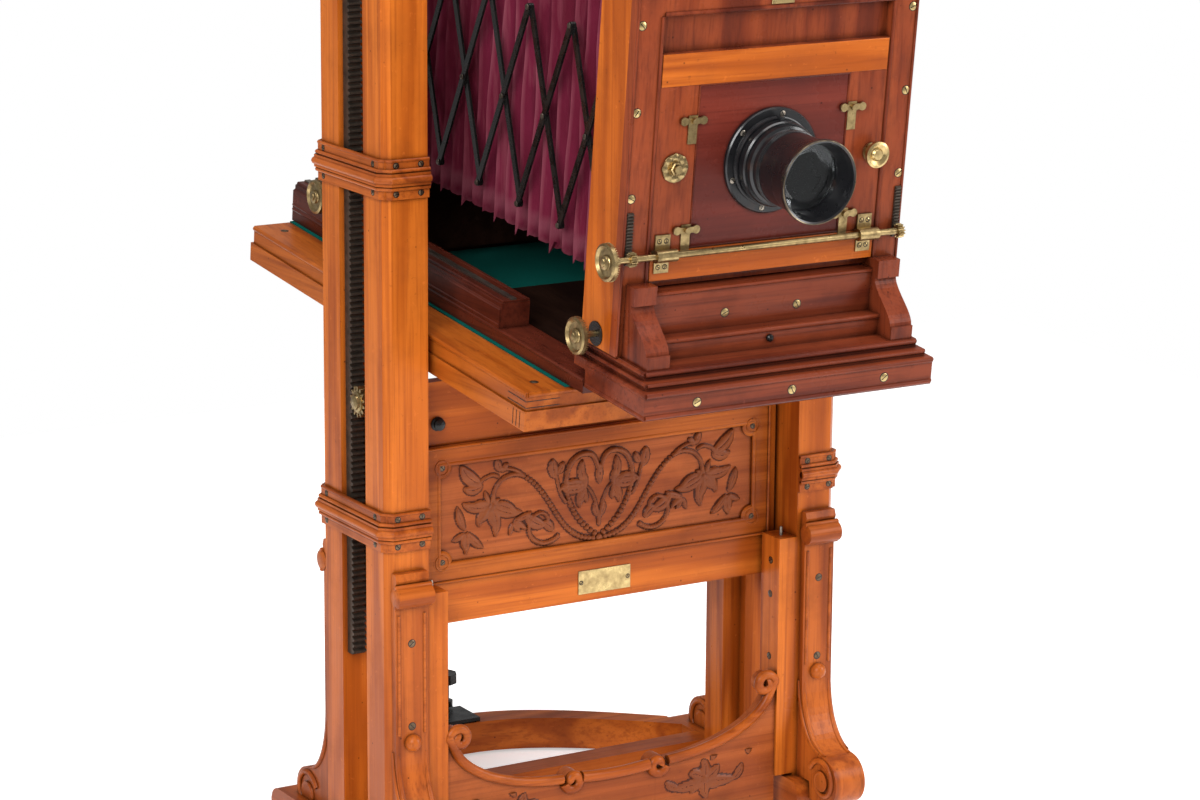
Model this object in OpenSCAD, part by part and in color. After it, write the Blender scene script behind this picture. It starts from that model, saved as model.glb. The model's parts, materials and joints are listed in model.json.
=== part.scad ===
// Studio plate camera on a carved two-column lifting stand.
// Millimetres, +Z up, lens towards -Y. The origin is on the floor, under the centre of the bounding box.
// Camera parts are drawn in the table's own frame, whose zero is the centre line of the columns at the
// table's top face; on_table() tips that frame nose down by table_tilt.

/* [Columns] */
// Clear width between the two columns
column_gap = 550; // [520:2:660]
// Width of one post, across the stand
post_w = 59; // [50:0.5:70]
// Depth of one post, front to back
post_d = 55.4; // [46:0.2:66.6]
// Gap between the front and the rear post of a column
post_gap = 66; // [62:0.5:79]
// Chamfer on the outer corner of a post
post_chamfer = 9; // [4:0.5:14]
// Height of the top of the posts above the floor
post_top = 1380; // [1300:5:1660]
// Height of the lower edge of the lowest collar
collar_z = 440; // [400:1:460]
// Distance from one collar to the next
collar_pitch = 442; // [380:1:450]
// Height of one collar
collar_h = 49; // [36:1:58]
// How far a collar's middle bead stands out
collar_out = 9; // [5:0.5:12]

/* [Base] */
// Height of the sled feet and of the beams between them
foot_h = 48; // [40:1:57]
// Width of a sled foot
foot_w = 84; // [78:1:100]
// How far a foot reaches forward of the column centre line
foot_front = 120; // [110:1:130]
// How far a foot reaches behind the column centre line
foot_rear = 222; // [200:1:260]
// Depth of the cross beam and of the curved rear beams
beam_w = 42; // [34:1:50]
// How far the rear apex lies behind the column centre line
apex_y = 360; // [330:1:380]
// Width of a scroll bracket
bracket_w = 46; // [36:1:54]
// Radius of the volute at the bottom of a bracket
volute_r = 33; // [26:1:36]
// Height where a bracket starts to sweep outwards
sweep_z = 185; // [160:1:220]
// Thickness of the carved front apron
apron_t = 20; // [14:1:22]
// Width of the battens on the inner faces of the posts
batten_w = 27; // [20:1:32]
// Height of the top of the battens
batten_top = 379; // [330:1:400]

/* [Lift] */
// Module of the lift rack and pinion
lift_module = 2.5; // [2:0.25:3]
// Teeth on a lift pinion
lift_teeth = 14; // [13:1:16]
// Thickness of the lift rack behind its teeth
rack_back = 12.4; // [8:0.2:13]
// Width of the lift rack
rack_w = 18; // [12:1:20]
// Radius of the lift shaft
shaft_r = 8; // [6:0.5:9]
// Height of the lift shaft above the floor
shaft_z = 613; // [600:1:630]

/* [Carriage] */
// Height of the carriage's lower edge
carriage_z = 320; // [300:1:335]
// Height of the bottom rail
bottom_rail_h = 54; // [44:1:60]
// Height of the carved panel
panel_h = 180; // [150:1:190]
// Height of the plain board above the panel
top_board_h = 82; // [70:1:84]
// Thickness of the front boards
board_t = 20; // [16:1:24]

/* [Table] */
// Height of the table's top face at the column centre line
table_z = 714; // [700:1:740]
// Tilt of the table, nose down, in degrees
table_tilt = 6; // [0:0.5:8]
// Half width of the table's upper board
table_half = 262; // [230:1:264]
// Reach of the table forward of the centre line
table_front = 312; // [290:1:320]
// Reach of the table behind the centre line
table_rear = 429; // [400:1:500]
// Thickness of the upper board
top_t = 23.4; // [18:0.2:26]
// Thickness of the lower frame
frame_t = 24.5; // [20:0.5:28]
// Thickness of the baize
baize_t = 1.6; // [1:0.1:3]
// Radius of the arc that the tilt clamp slides in
quadrant_r = 75; // [71:1:77]

/* [Camera bed] */
// Half width of the bed over its rails
bed_half = 204; // [196:1:206]
// Width of a low rail
rail_w = 46; // [40:1:50]
// Height of a low rail's top above the table
low_rail_h = 20; // [16:0.5:24]
// Height of a tall rail's top above the table
tall_rail_h = 54.5; // [48:0.5:62]
// Where the tall rails start
tall_rail_front = -136.5; // [-160:0.5:-100]
// Half width of the plinth
plinth_half = 202.5; // [196:0.5:206]
// Front face of the plinth
plinth_front = -478.6; // [-490:0.2:-462]
// Lower edge of the plinth
plinth_z = 10.1; // [8:0.1:14]
// Upper edge of the plinth
plinth_top = 43.8; // [40:0.2:48]

/* [Front standard] */
// Half width over the side posts
cheek_half = 195; // [188:1:200]
// Thickness of a side post
cheek_t = 35; // [28:1:36]
// Rear face of the side posts
cheek_rear = -317; // [-330:1:-316]
// Front face of the mahogany frame
frame_front = -396.4; // [-404:0.2:-390]
// Thickness of the mahogany frame
face_t = 14.4; // [12:0.2:18]
// Height of the top of the standard above the table
standard_top = 512; // [500:1:560]
// Half width of the rising panel
rise_half = 158; // [150:1:160]
// Lower edge of the rising panel
rise_z = 150.5; // [146:0.5:160]
// Upper edge of the rising panel
rise_top = 421.5; // [410:0.5:424]
// Half width of the square lens board
lens_board_half = 104.5; // [96:0.5:110]
// Height of the lens axis above the table
lens_z = 285; // [270:1:300]

/* [Lens] */
// Radius of the lens flange
flange_r = 64; // [58:0.5:68]
// Radius of the lens barrel
barrel_r = 45; // [38:0.5:46]
// Radius of the front hood
hood_r = 50.8; // [47:0.2:56]
// How far the lens stands out of its board
lens_out = 107; // [90:1:130]

/* [Knobs] */
// Radius of the large brass knobs
knob_r = 22.5; // [18:0.5:24]
// Radius of the small knob on the rising panel
small_knob_r = 16; // [12:0.5:18]
// Module of the small racks and pinions
fine_module = 1.25; // [1.25:0.25:1.5]
// Teeth on a small pinion
fine_teeth = 12; // [12:1:13]

/* [Rear standard] */
// Front face of the rear standard
rear_front = 208; // [200:1:230]
// Depth of the rear standard
rear_depth = 126; // [100:1:140]
// Half width of the rear standard
rear_half = 200; // [190:1:202]
// Thickness of its boards
rear_board = 14; // [10:0.5:16]

/* [Bellows and lazy tongs] */
// Half width of the bellows
bellows_half = 152; // [140:1:154]
// Lower edge of the bellows above the table
bellows_z = 120; // [110:1:125]
// Upper edge of the bellows above the table
bellows_top = 490; // [470:1:494]
// Wall of the bellows
bellows_wall = 5; // [3:0.5:8]
// Number of crossings along the bellows
tong_cells = 5; // [5:1:5]
// Length of a tong bar between its end pivots
tong_len = 266; // [250:1:280]
// Width of a tong bar
tong_w = 9; // [7:0.5:11]
// Thickness of a tong bar
tong_t = 3; // [2:0.5:3]
// Radius of a tong pin
tong_pin_r = 2.5; // [2:0.25:3]
// Height of the lower tong pivots
tong_z = 166; // [160:1:180]

/* [Hidden] */
$fn = 64;

// Clearances
slip = 0.3;      // wood sliding on wood
run = 0.05;      // radial clearance of a shaft in its bore

// Columns
inner_x = column_gap / 2;
outer_x = inner_x + post_w;
half_gap = post_gap / 2;
column_half = half_gap + post_d;
bracket_x = inner_x + post_w / 2;

// Lift gearing: the rack stands on the rear post's front face
lift_r = lift_module * lift_teeth / 2;
lift_pitch = PI * lift_module;
pressure = 20;
dedendum = 1.25;
rack_addendum = 0.65;
gear_addendum = 0.9;
rack_root_y = half_gap - rack_back;
rack_line_y = rack_root_y - dedendum * lift_module;
shaft_y = rack_line_y - lift_r;
rack_x = inner_x + 34;
rack_bottom = collar_z - 162;

// Screw foot behind the apex of the rear beams
iron_y = apex_y + 18.5;

// Carriage
car_half = inner_x - 3;
cheek_in = car_half - 32;
tongue_x = rack_x - 5;
panel_z = carriage_z + bottom_rail_h;
panel_top = panel_z + panel_h;
carriage_top = panel_top + top_board_h;
board_front = -37;
board_rear = board_front + board_t;
cheek_rear_y = 34;

// Tilt hinge, in the table's frame
hinge_y = 15;
hinge_z = -66;
hinge_pin_r = 4;
iron_t = 6;
iron_x = cheek_in - 2 - iron_t;

// Table frame to stand frame
function world_y(y, z) = y * cos(table_tilt) - z * sin(table_tilt);
function world_z(y, z) = table_z + y * sin(table_tilt) + z * cos(table_tilt);

// Front standard
bed_front = -343;
box_top = plinth_top + 18;
lock_y = -350;
lock_z = plinth_top + 34;
ogee_in = rise_half - 2;

// Lens
lens_tip = frame_front - lens_out;
front_y = world_y(lens_tip, lens_z + hood_r);
under_out = 3;
rear_y = world_y(table_rear + under_out, -top_t - frame_t);
y_shift = -(front_y + rear_y) / 2;

// Fine gearing
fine_r = fine_module * fine_teeth / 2;
fine_pitch = PI * fine_module;
pin_shaft_r = 4;
rail_in = bed_half - rail_w;
track_x = bed_half - 24;
track_t = 2;
bed_rack_x = rail_in + 8;
bed_rack_w = 8;
bed_rack_back = 2.6;
focus_y = rear_front + 113;
focus_z = tall_rail_h + bed_rack_back + dedendum * fine_module + fine_r;
rise_rack_back = 1.5;
rod_y = frame_front - rise_rack_back - dedendum * fine_module - fine_r;
rod_z = 183.5;
rise_rack_x = cheek_half - 11;
rise_rack_w = 8;
rise_travel = 40;

// Tongs, in the table's frame
tong_front = cheek_rear + 14;
tong_rear = rear_front - 5;
tong_step = (tong_rear - tong_front) / tong_cells;
tong_angle = asin(tong_step / tong_len);
tong_high = tong_z + tong_len * cos(tong_angle);
tong_x_a = bellows_half + 8.5;
tong_x_b = tong_x_a + tong_t + 0.5;
lug_x = tong_x_b + tong_t + 1.5;
lug_t = 11.5;
lug_slack = 2;

// ---------- helpers ----------
module placed() translate([0, y_shift, 0]) children();

module on_table() placed() translate([0, 0, table_z]) rotate([table_tilt, 0, 0]) children();

module pair() {
    children();
    mirror([1, 0, 0]) children();
}

// Box from its low corner to its high corner
module block(lo, hi) translate(lo) cube([hi[0] - lo[0], hi[1] - lo[1], hi[2] - lo[2]]);

// Outline drawn in Y and Z, from x0 over a width w
module slab_x(x0, w) translate([x0, 0, 0]) rotate([90, 0, 90]) linear_extrude(w) children();

// Outline drawn in X and Z, from y0 over a depth t
module slab_y(y0, t) translate([0, y0 + t, 0]) rotate([90, 0, 0]) linear_extrude(t) children();

// Rod along X from x0 to x1
module rod_x(x0, x1, y, z, r) translate([x0, y, z]) rotate([0, 90, 0]) cylinder(h = x1 - x0, r = r);

// Rod along -Y from y0, length h
module rod_y(x, y0, z, h, r) translate([x, y0, z]) rotate([90, 0, 0]) cylinder(h = h, r = r);

// Outline of the right column in plan, grown by p
function column_outline(p) =
    let (c = post_chamfer + p * (2 - sqrt(2)), x = outer_x + p, y = column_half + p)
    [[inner_x, -y], [x - c, -y], [x, -y + c], [x, y - c], [x - c, y], [inner_x, y]];

// Rack teeth: position along the rack, height towards the pinion from the pitch line
function rack_tooth(a, m) =
    let (root = dedendum * m, tip = rack_addendum * m)
    let (root_half = PI * m * 0.22 + root * tan(pressure), tip_half = PI * m * 0.22 - tip * tan(pressure))
    [[a - root_half, -root], [a - tip_half, tip], [a + tip_half, tip], [a + root_half, -root]];

// Rack points: teeth i = first..last about 0, backed to depth back below the roots
function rack_points(m, first, last, back) =
    let (ends = PI * m / 2, root = -dedendum * m)
    concat(
        [[first * PI * m - ends, root - back], [first * PI * m - ends, root]],
        [for (i = [first:last]) each rack_tooth(i * PI * m, m)],
        [[last * PI * m + ends, root], [last * PI * m + ends, root - back]]);

// Upright rack with its teeth towards -Y; y and z are on its pitch line, at a tooth's middle
module upright_rack(x, w, y, z, m, first, last, back) slab_x(x, w) translate([y, z])
    polygon([for (p = rack_points(m, first, last, back)) [-p[1], p[0]]]);

function involute(a) = tan(a) - a * PI / 180;

// Half angle of a tooth at radius r, in degrees
function tooth_half(r, m, n) =
    let (base = m * n / 2 * cos(pressure), a = r > base ? acos(base / r) : 0)
    (PI * 0.44 / n + involute(pressure) - involute(a)) * 180 / PI;

function gear_points(m, n) =
    let (r = m * n / 2, root = r - dedendum * m, tip = r + gear_addendum * m)
    let (base = max(r * cos(pressure), root + 0.01))
    [for (i = [0:n - 1]) let (mid = (i + 0.5) * 360 / n)
        each [for (s = [-1, 1]) each
            let (radii = [root, base, r, tip])
            [for (k = [0:3]) let (q = radii[s < 0 ? k : 3 - k], a = mid + s * tooth_half(max(q, base), m, n))
                [q * cos(a), q * sin(a)]]]];

// Pinion on an X axis, with a tooth gap facing the direction face (degrees from +Y towards +Z)
module pinion_x(x0, w, y, z, m, n, face)
    translate([x0, y, z]) rotate([90, 0, 90]) rotate([0, 0, face]) linear_extrude(w) polygon(gear_points(m, n));

// Turned brass knob on an X axis: the rim faces -X, with its inner end at x
module knob_x(x, y, z) translate([x, y, z]) rotate([0, -90, 0]) rotate_extrude() polygon([
    [0, 0], [6, 0], [6, 9], [knob_r - 6, 11], [knob_r, 12.5], [knob_r, 17], [knob_r - 3, 18.5],
    [knob_r - 6, 15.5], [9, 15.5], [7, 18], [0, 18.6]]);

// ---------- stand ----------
module post_pair(front) placed() pair() translate([0, 0, foot_h]) linear_extrude(post_top - foot_h)
    intersection() {
        polygon(column_outline(0));
        y0 = front ? -column_half : half_gap;
        translate([inner_x, y0]) square([post_w, post_d]);
    }

module front_posts() color("peru") post_pair(true);

module rear_posts() color("peru") post_pair(false);

module collar_layer(z, h, p) translate([0, 0, z]) linear_extrude(h) difference() {
    polygon(column_outline(p));
    translate([0, -column_half]) square([outer_x, 2 * column_half]);
}

module corner_fill(z, h) translate([0, 0, z]) linear_extrude(h) difference() {
    translate([0, -column_half]) square([outer_x, 2 * column_half]);
    polygon(column_outline(0));
    translate([0, -column_half]) square([inner_x, 2 * column_half]);
}

// Three collars a side: two flat bands with a bead between them, open towards the inside
module post_collars() color("chocolate") placed() pair() for (i = [0:2]) {
    z = collar_z + i * collar_pitch;
    band = collar_h * 0.27;
    step = collar_h * 0.07;
    bead = collar_h - 2 * band - 2 * step;
    collar_layer(z, band, collar_out * 0.5);
    collar_layer(z + band, step, collar_out * 0.7);
    collar_layer(z + band + step, bead, collar_out);
    collar_layer(z + band + step + bead, step, collar_out * 0.7);
    collar_layer(z + collar_h - band, band, collar_out * 0.5);
    corner_fill(z, collar_h);
}

module column_caps() color("chocolate") placed() pair() {
    cap = 12;
    for (layer = [[0, 10, 0.8], [10, 14, 1.2], [24, 8, 0.4]])
        translate([0, 0, post_top + layer[0]]) linear_extrude(layer[1])
            polygon(column_outline(cap * layer[2]));
}

module lift_racks() color("dimgray") placed() pair() {
    below = floor((shaft_z - rack_bottom) / lift_pitch);
    above = floor((post_top - 20 - shaft_z) / lift_pitch);
    upright_rack(rack_x, rack_w, rack_line_y, shaft_z, lift_module, -below, above, rack_back);
}

module side_feet() color("sienna") placed() pair() {
    toe = foot_h * 0.42;
    slab_x(bracket_x - foot_w / 2, foot_w) union() {
        translate([-foot_front, 0]) square([foot_front + foot_rear, foot_h - toe]);
        translate([-foot_front + toe, 0]) square([foot_front + foot_rear - 2 * toe, foot_h]);
        for (y = [-foot_front + toe, foot_rear - toe]) translate([y, foot_h - toe]) circle(toe);
    }
}

// Outer edge of the curved rear beams
function rear_curve(x) =
    let (root = foot_rear - 17, reach = bracket_x - foot_w / 2 + 8)
    root + (apex_y - root) * cos(90 * x / reach);

module base_beams() color("sienna") placed() {
    end = bracket_x - foot_w / 2;
    floor_gap = 4;
    steps = 12;
    translate([0, 0, floor_gap]) linear_extrude(foot_h - floor_gap) polygon(concat(
        [for (i = [-steps:steps]) let (x = i * end / steps) [x, rear_curve(x)]],
        [for (i = [-steps:steps]) let (x = -i * end / steps) [x, rear_curve(x) - beam_w]]));
    block([-end, foot_rear / 2 - 12, floor_gap], [end, foot_rear / 2 - 12 + beam_w * 0.9, foot_h]);
}

// Outline of one half of the apron, from the middle to the batten
module apron_half(w) {
    arch = 96;
    curl = 13;
    side_top = 182;
    inner = 64;
    steps = 16;
    polygon(concat(
        [[0, 24], [0, arch], [inner - curl, arch + 4]],
        [for (i = [0:steps]) let (u = 90 * i / steps)
            [inner + (w - 8 - inner) * sin(u), arch + 6 + (side_top - arch - 6) * (1 - cos(u))]],
        [[w, side_top], [w, 8], [w - 40, 8], [w - 60, 24]]));
    translate([inner, arch + 2]) circle(curl);
    translate([w - curl, side_top]) circle(curl);
}

module front_apron() color("saddlebrown") placed() slab_y(-column_half + 4, apron_t) union() {
    w = inner_x - batten_w;
    apron_half(w);
    mirror([1, 0]) apron_half(w);
}

// Side outline of a front scroll bracket; 0 is the post's front face, negative is outwards
module bracket_outline() {
    strip_t = 9.6;
    out = 62;
    steps = 14;
    volute_z = foot_h + 9;
    cap_z = collar_z - 65;
    polygon(concat(
        [[0, foot_h + slip], [0, cap_z + 38], [-10, cap_z + 38], [-13, cap_z + 30], [-strip_t, cap_z + 20],
         [-strip_t, sweep_z]],
        [for (i = [1:steps]) let (u = 90 * i / steps)
            [-strip_t - (out - 6) * (1 - cos(u)), sweep_z - (sweep_z - volute_z - volute_r) * sin(u)]],
        [[-out, volute_z - volute_r], [-foot_front + column_half - slip, volute_z - volute_r],
         [-foot_front + column_half - slip, foot_h + slip]]));
    translate([-out, volute_z]) circle(volute_r);
    translate([-strip_t - 4, cap_z + 9]) circle(12);
}

module bracket_solid() {
    slab_x(-bracket_w / 2, bracket_w) bracket_outline();
    // Acorn drop at the foot of the raised strip
    acorn_r = bracket_w * 0.24;
    translate([0, -acorn_r - 0.5, sweep_z + 8]) sphere(r = acorn_r);
    // Eye of the volute, proud on both sides
    rod_x(-bracket_w / 2 - 3, bracket_w / 2 + 3, -62, foot_h + 9, volute_r * 0.42);
}

module scroll_brackets() color("saddlebrown") placed() pair() {
    translate([bracket_x, -column_half, 0]) bracket_solid();
    mirror([0, 1, 0]) translate([bracket_x, -column_half, 0]) bracket_rear();
}

// The rear brackets stand on the foot, so their volute is cut off level with its top
module bracket_rear() difference() {
    bracket_solid();
    block([-foot_w, -foot_rear, -1], [foot_w, slip, foot_h + slip]);
}

module guide_battens() color("peru") placed() pair() for (s = [-1, 1]) scale_y(s)
    block([inner_x - batten_w, -column_half, foot_h + 4], [inner_x, -half_gap - 13, batten_top]);

// Mirror in Y when s is negative
module scale_y(s) if (s > 0) children(); else mirror([0, 1, 0]) children();

module rear_foot_iron() color("dimgray") placed() {
    difference() {
        union() {
            translate([0, iron_y, 16]) cylinder(h = foot_h - 10, r = 14);
            block([-24, apex_y - beam_w + 2, foot_h], [24, iron_y, foot_h + 6]);
        }
        translate([0, iron_y, 0]) cylinder(h = foot_h + 30, r = 6 + run);
        // Clear of the curved beam behind the plate
        block([-30, apex_y - beam_w, 0], [30, apex_y + slip, foot_h]);
    }
}

module foot_screw() color("black") placed() translate([0, iron_y, 0]) {
    cylinder(h = 7, r1 = 18, r2 = 12);
    cylinder(h = 102, r = 6);
    translate([0, 0, foot_h + 10]) cylinder(h = 8, r = 11);
    translate([0, 0, 92]) cylinder(h = 14, r = 17, $fn = 8);
}

// ---------- carriage ----------
module carriage_panel() color("saddlebrown") placed() {
    half = car_half - 12;
    border = 24;
    recess = 5;
    difference() {
        block([-half, board_front - 6.5, panel_z + slip], [half, board_rear, panel_top - slip]);
        translate([0, recess, 0])
            block([-half + border, board_front - 16, panel_z + border],
                  [half - border, board_front - 6.5, panel_top - border]);
    }
}

module carriage_rails() color("peru") placed() {
    block([-car_half, board_front, carriage_z], [car_half, board_rear, panel_z]);
    block([-car_half, board_front, panel_top], [car_half, board_rear, carriage_top]);
}

module carriage_cheeks() color("peru") placed() pair() difference() {
    pivot_y = world_y(hinge_y, hinge_z);
    pivot_z = world_z(hinge_y, hinge_z);
    union() {
        slab_x(cheek_in, car_half - cheek_in) polygon([
            [board_rear, carriage_z], [cheek_rear_y, carriage_z], [cheek_rear_y, pivot_z + 9],
            [pivot_y - 11, pivot_z + 9], [board_rear, carriage_top + 2]]);
        block([car_half - 11.7, board_front, panel_z + slip], [car_half, board_rear, panel_top - slip]);
        play = 0.6;
        tongue_z = carriage_z + 15;
        slab_x(car_half, tongue_x - car_half)
            translate([-half_gap + play, tongue_z]) square([post_gap - 2 * play, carriage_top - tongue_z]);
    }
    rod_x(0, outer_x, shaft_y, shaft_z, shaft_r + run);
    rod_x(0, cheek_in + 24, pivot_y, pivot_z, hinge_pin_r + run);
    rod_x(0, cheek_in + 24, pivot_y, pivot_z - quadrant_r, hinge_pin_r + run);
}

module carriage_back() color("peru") placed() for (z = [[0, 54], [168, 220]])
    block([-cheek_in, 14, carriage_z + z[0]], [cheek_in, cheek_rear_y, carriage_z + z[1]]);

module blank_plate() color("goldenrod") placed()
    block([-29, board_front - 1.2, carriage_z + 10], [49, board_front, carriage_z + 41]);

// Cross shaft with squared ends for a crank key, and a pinion keyed on near each end
module lift_shaft() color("dimgray") placed() {
    end = outer_x - 1;
    square_end = 12;
    rod_x(-end + square_end, end - square_end, shaft_y, shaft_z, shaft_r);
    pair() {
        translate([end - square_end, shaft_y, shaft_z]) rotate([0, 90, 0]) cylinder(h = square_end, r = shaft_r, $fn = 4);
        pinion_x(rack_x - 1, rack_w + 2, shaft_y, shaft_z, lift_module, lift_teeth, 0);
    }
}

// ---------- table ----------
module table_top() color("orange") on_table()
    block([-table_half, -table_front, -top_t], [table_half, table_rear, 0]);

module table_frame() color("orange") on_table()
    block([-table_half - under_out, -table_front - under_out, -top_t - frame_t],
          [table_half + under_out, table_rear + under_out, -top_t]);

module table_baize() color("teal") on_table()
    block([-bed_half - 5, -table_front + 2, 0], [bed_half + 5, table_rear, baize_t]);

// Angle from straight down about the hinge, as a point at radius r; positive is towards the rear
function down(r, a) = [hinge_y + r * sin(a), hinge_z - r * cos(a)];

// Hinge lug with a slotted quadrant. The table's tilt is added so that the slot lines up with the clamp.
module quadrant_outline() {
    lean = -table_tilt;
    low = -19.5 + lean;
    high = 13.5 + lean;
    steps = 8;
    difference() {
        union() {
            translate([hinge_y, hinge_z]) circle(11);
            polygon([[hinge_y - 11, -top_t - frame_t], [hinge_y + 11, -top_t - frame_t],
                     [hinge_y + 11, hinge_z], [hinge_y - 11, hinge_z]]);
            polygon([down(0, 0), down(quadrant_r, lean + 1.5), down(quadrant_r, high)]);
            polygon(concat(
                [for (i = [0:steps]) down(quadrant_r + 10.5, low + (high - low) * i / steps)],
                [for (i = [0:steps]) down(quadrant_r - 10.5, high - (high - low) * i / steps)]));
        }
        polygon(concat(
            [for (i = [0:steps]) down(quadrant_r + 4.5, low + 6 + (high - low - 12) * i / steps)],
            [for (i = [0:steps]) down(quadrant_r - 4.5, high - 6 - (high - low - 12) * i / steps)]));
        for (a = [low + 6, high - 6]) translate(down(quadrant_r, a)) circle(4.5);
    }
}

module tilt_irons() color("dimgray") on_table() pair() {
    slab_x(iron_x, iron_t) quadrant_outline();
    block([iron_x - 44, hinge_y - 30, -top_t - frame_t - 5], [iron_x + iron_t, hinge_y + 60, -top_t - frame_t]);
    rod_x(iron_x - 2, cheek_in + 22, hinge_y, hinge_z, hinge_pin_r);
}

module tilt_clamp() color("goldenrod") placed() {
    y = world_y(hinge_y, hinge_z);
    z = world_z(hinge_y, hinge_z) - quadrant_r;
    rod_x(iron_x - 20, cheek_in + 22, y, z, hinge_pin_r);
    rod_x(iron_x - 20, iron_x - slip, y, z, 9);
    // Two wings
    slab_x(iron_x - 20, 6) translate([y, z]) union() {
        square([34, 12], center = true);
        for (s = [-1, 1]) translate([s * 17, 0]) circle(7.5);
    }
}

// ---------- bed ----------
module bed_rails() color("maroon") on_table() pair() {
    z0 = baize_t + 0.2;
    block([rail_in, bed_front, z0], [bed_half, table_rear + 4, low_rail_h]);
    // Tall rail with a stepped moulding on its outer edge
    slab_y(tall_rail_front, table_rear + 4 - tall_rail_front) polygon([
        [rail_in + 4, low_rail_h], [bed_half, low_rail_h], [bed_half, tall_rail_h - 11],
        [bed_half - 3, tall_rail_h - 9], [bed_half - 3, tall_rail_h - 4], [bed_half - 7, tall_rail_h - 2],
        [bed_half - 7, tall_rail_h], [rail_in + 4, tall_rail_h]]);
}

module bed_boards() color("maroon") on_table() {
    z0 = baize_t + 0.2;
    half = rail_in - slip;
    block([-half, bed_front, z0], [half, 30, z0 + 10]);
    block([-half, 232, z0], [half, table_rear + 4, z0 + 10]);
}

// Steel wear strips and focusing racks on the tall rails
module bed_tracks() color("silver") on_table() pair() {
    block([track_x, tall_rail_front + 1, tall_rail_h], [track_x + 8, table_rear + 3, tall_rail_h + track_t]);
    first = -floor((focus_y - 150) / fine_pitch);
    last = floor((table_rear - focus_y) / fine_pitch);
    slab_x(bed_rack_x, bed_rack_w) translate([focus_y, focus_z - fine_r])
        polygon(rack_points(fine_module, first, last, bed_rack_back));
}

// ---------- front standard ----------
// Guide piece for the end of the tongs: a hole for the lower pin and a slot for the upper one
module lug(y0, y1, pin_y, hole_r) difference() {
    block([lug_x, y0, tong_z - 20], [lug_x + lug_t, y1, tong_high + 24]);
    rod_x(0, lug_x + lug_t + 1, pin_y, tong_z, hole_r);
    slab_x(0, lug_x + lug_t + 1) union() {
        slot_half = 10;
        for (s = [-1, 1]) translate([pin_y, tong_high + s * slot_half]) circle(tong_pin_r + lug_slack);
        translate([pin_y - tong_pin_r - lug_slack, tong_high - slot_half])
            square([2 * (tong_pin_r + lug_slack), 2 * slot_half]);
    }
}

module standard_cheeks() color("orange") on_table() pair() difference() {
    union() {
        block([cheek_half - cheek_t, frame_front + face_t, box_top], [cheek_half, cheek_rear, standard_top]);
        lug(cheek_rear, cheek_rear + 24, tong_front, tong_pin_r + run);
    }
    rod_x(0, cheek_half + 1, lock_y, lock_z, pin_shaft_r + run);
}

module front_frame() color("maroon") on_table() difference() {
    back = frame_front + face_t;
    union() {
        pair() block([rise_half, frame_front, box_top], [cheek_half, back, standard_top]);
        block([-rise_half, frame_front, rise_top + 44.5], [rise_half, back, standard_top]);
        block([-rise_half, back - 3.6, rise_z - 10], [rise_half, back, rise_top + 44.5]);
    }
    // Light path to the lens, tall enough for the whole rise
    block([-95, back - 5, lens_z - 70], [95, back + 1, lens_z + 115]);
}

module plinth() color("maroon") on_table() {
    wall = 22;
    block([-plinth_half, plinth_front, plinth_z], [plinth_half, plinth_front + wall, plinth_top - 12]);
    pair() block([plinth_half - wall, plinth_front + wall, plinth_z], [plinth_half, bed_front, plinth_top - 12]);
    block([-plinth_half, plinth_front, plinth_top - 12], [plinth_half, cheek_rear, plinth_top]);
    // Stepped mouldings, with the box front that stands on them
    block([-plinth_half + 6, plinth_front + 9, plinth_top], [plinth_half - 6, cheek_rear, plinth_top + 8]);
    block([-plinth_half + 11, plinth_front + 22, plinth_top + 8], [plinth_half - 11, cheek_rear, box_top]);
    block([-ogee_in, frame_front - 6, box_top], [ogee_in, frame_front + face_t, rise_z - 12]);
    block([-ogee_in, frame_front - 28, box_top], [ogee_in, frame_front - 6, box_top + 24]);
}

module ogee_brackets() color("maroon") on_table() pair() {
    z0 = box_top;
    z1 = rise_z;
    steps = 12;
    swing = 40;
    block_h = 22;
    slab_x(ogee_in, 31) polygon(concat(
        [[frame_front, z0], [frame_front, z1], [frame_front - 20, z1], [frame_front - 20, z1 - block_h]],
        [for (i = [0:steps]) let (u = i / steps, s = u * u * (3 - 2 * u))
            [frame_front - 14 - swing * s, z1 - block_h - (z1 - block_h - z0 - 16) * u]],
        [[frame_front - 57, z0 + 16], [frame_front - 57, z0]]));
}

module front_racks() color("dimgray") on_table() pair() upright_rack(rise_rack_x, rise_rack_w,
    rod_y + fine_r, rod_z, fine_module, -2, ceil(rise_travel / fine_pitch) + 2, rise_rack_back);

module lock_knob() color("goldenrod") on_table() {
    rod_x(-cheek_half - 12, -cheek_half + cheek_t - 4, lock_y, lock_z, pin_shaft_r);
    knob_x(-cheek_half - 12, lock_y, lock_z);
}

// ---------- rising panel and lens ----------
module rising_panel() color("orange") on_table() difference() {
    block([-rise_half + slip, frame_front, rise_z], [rise_half - slip, frame_front + 10.4, rise_top]);
    block([-lens_board_half, frame_front - 1, lens_z - 96.8], [lens_board_half, frame_front + 20, lens_z + 97.4]);
}

module lens_board() color("brown") on_table() difference() {
    block([-lens_board_half + slip, frame_front, lens_z - 96.5], [lens_board_half - slip, frame_front + 8, lens_z + 97.1]);
    rod_y(0, frame_front + 20, lens_z, 40, barrel_r + 4.5);
}

latch_x = lens_board_half + 6.5;
latch_up = lens_z + 56;
latch_low = lens_z - 75;

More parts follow.
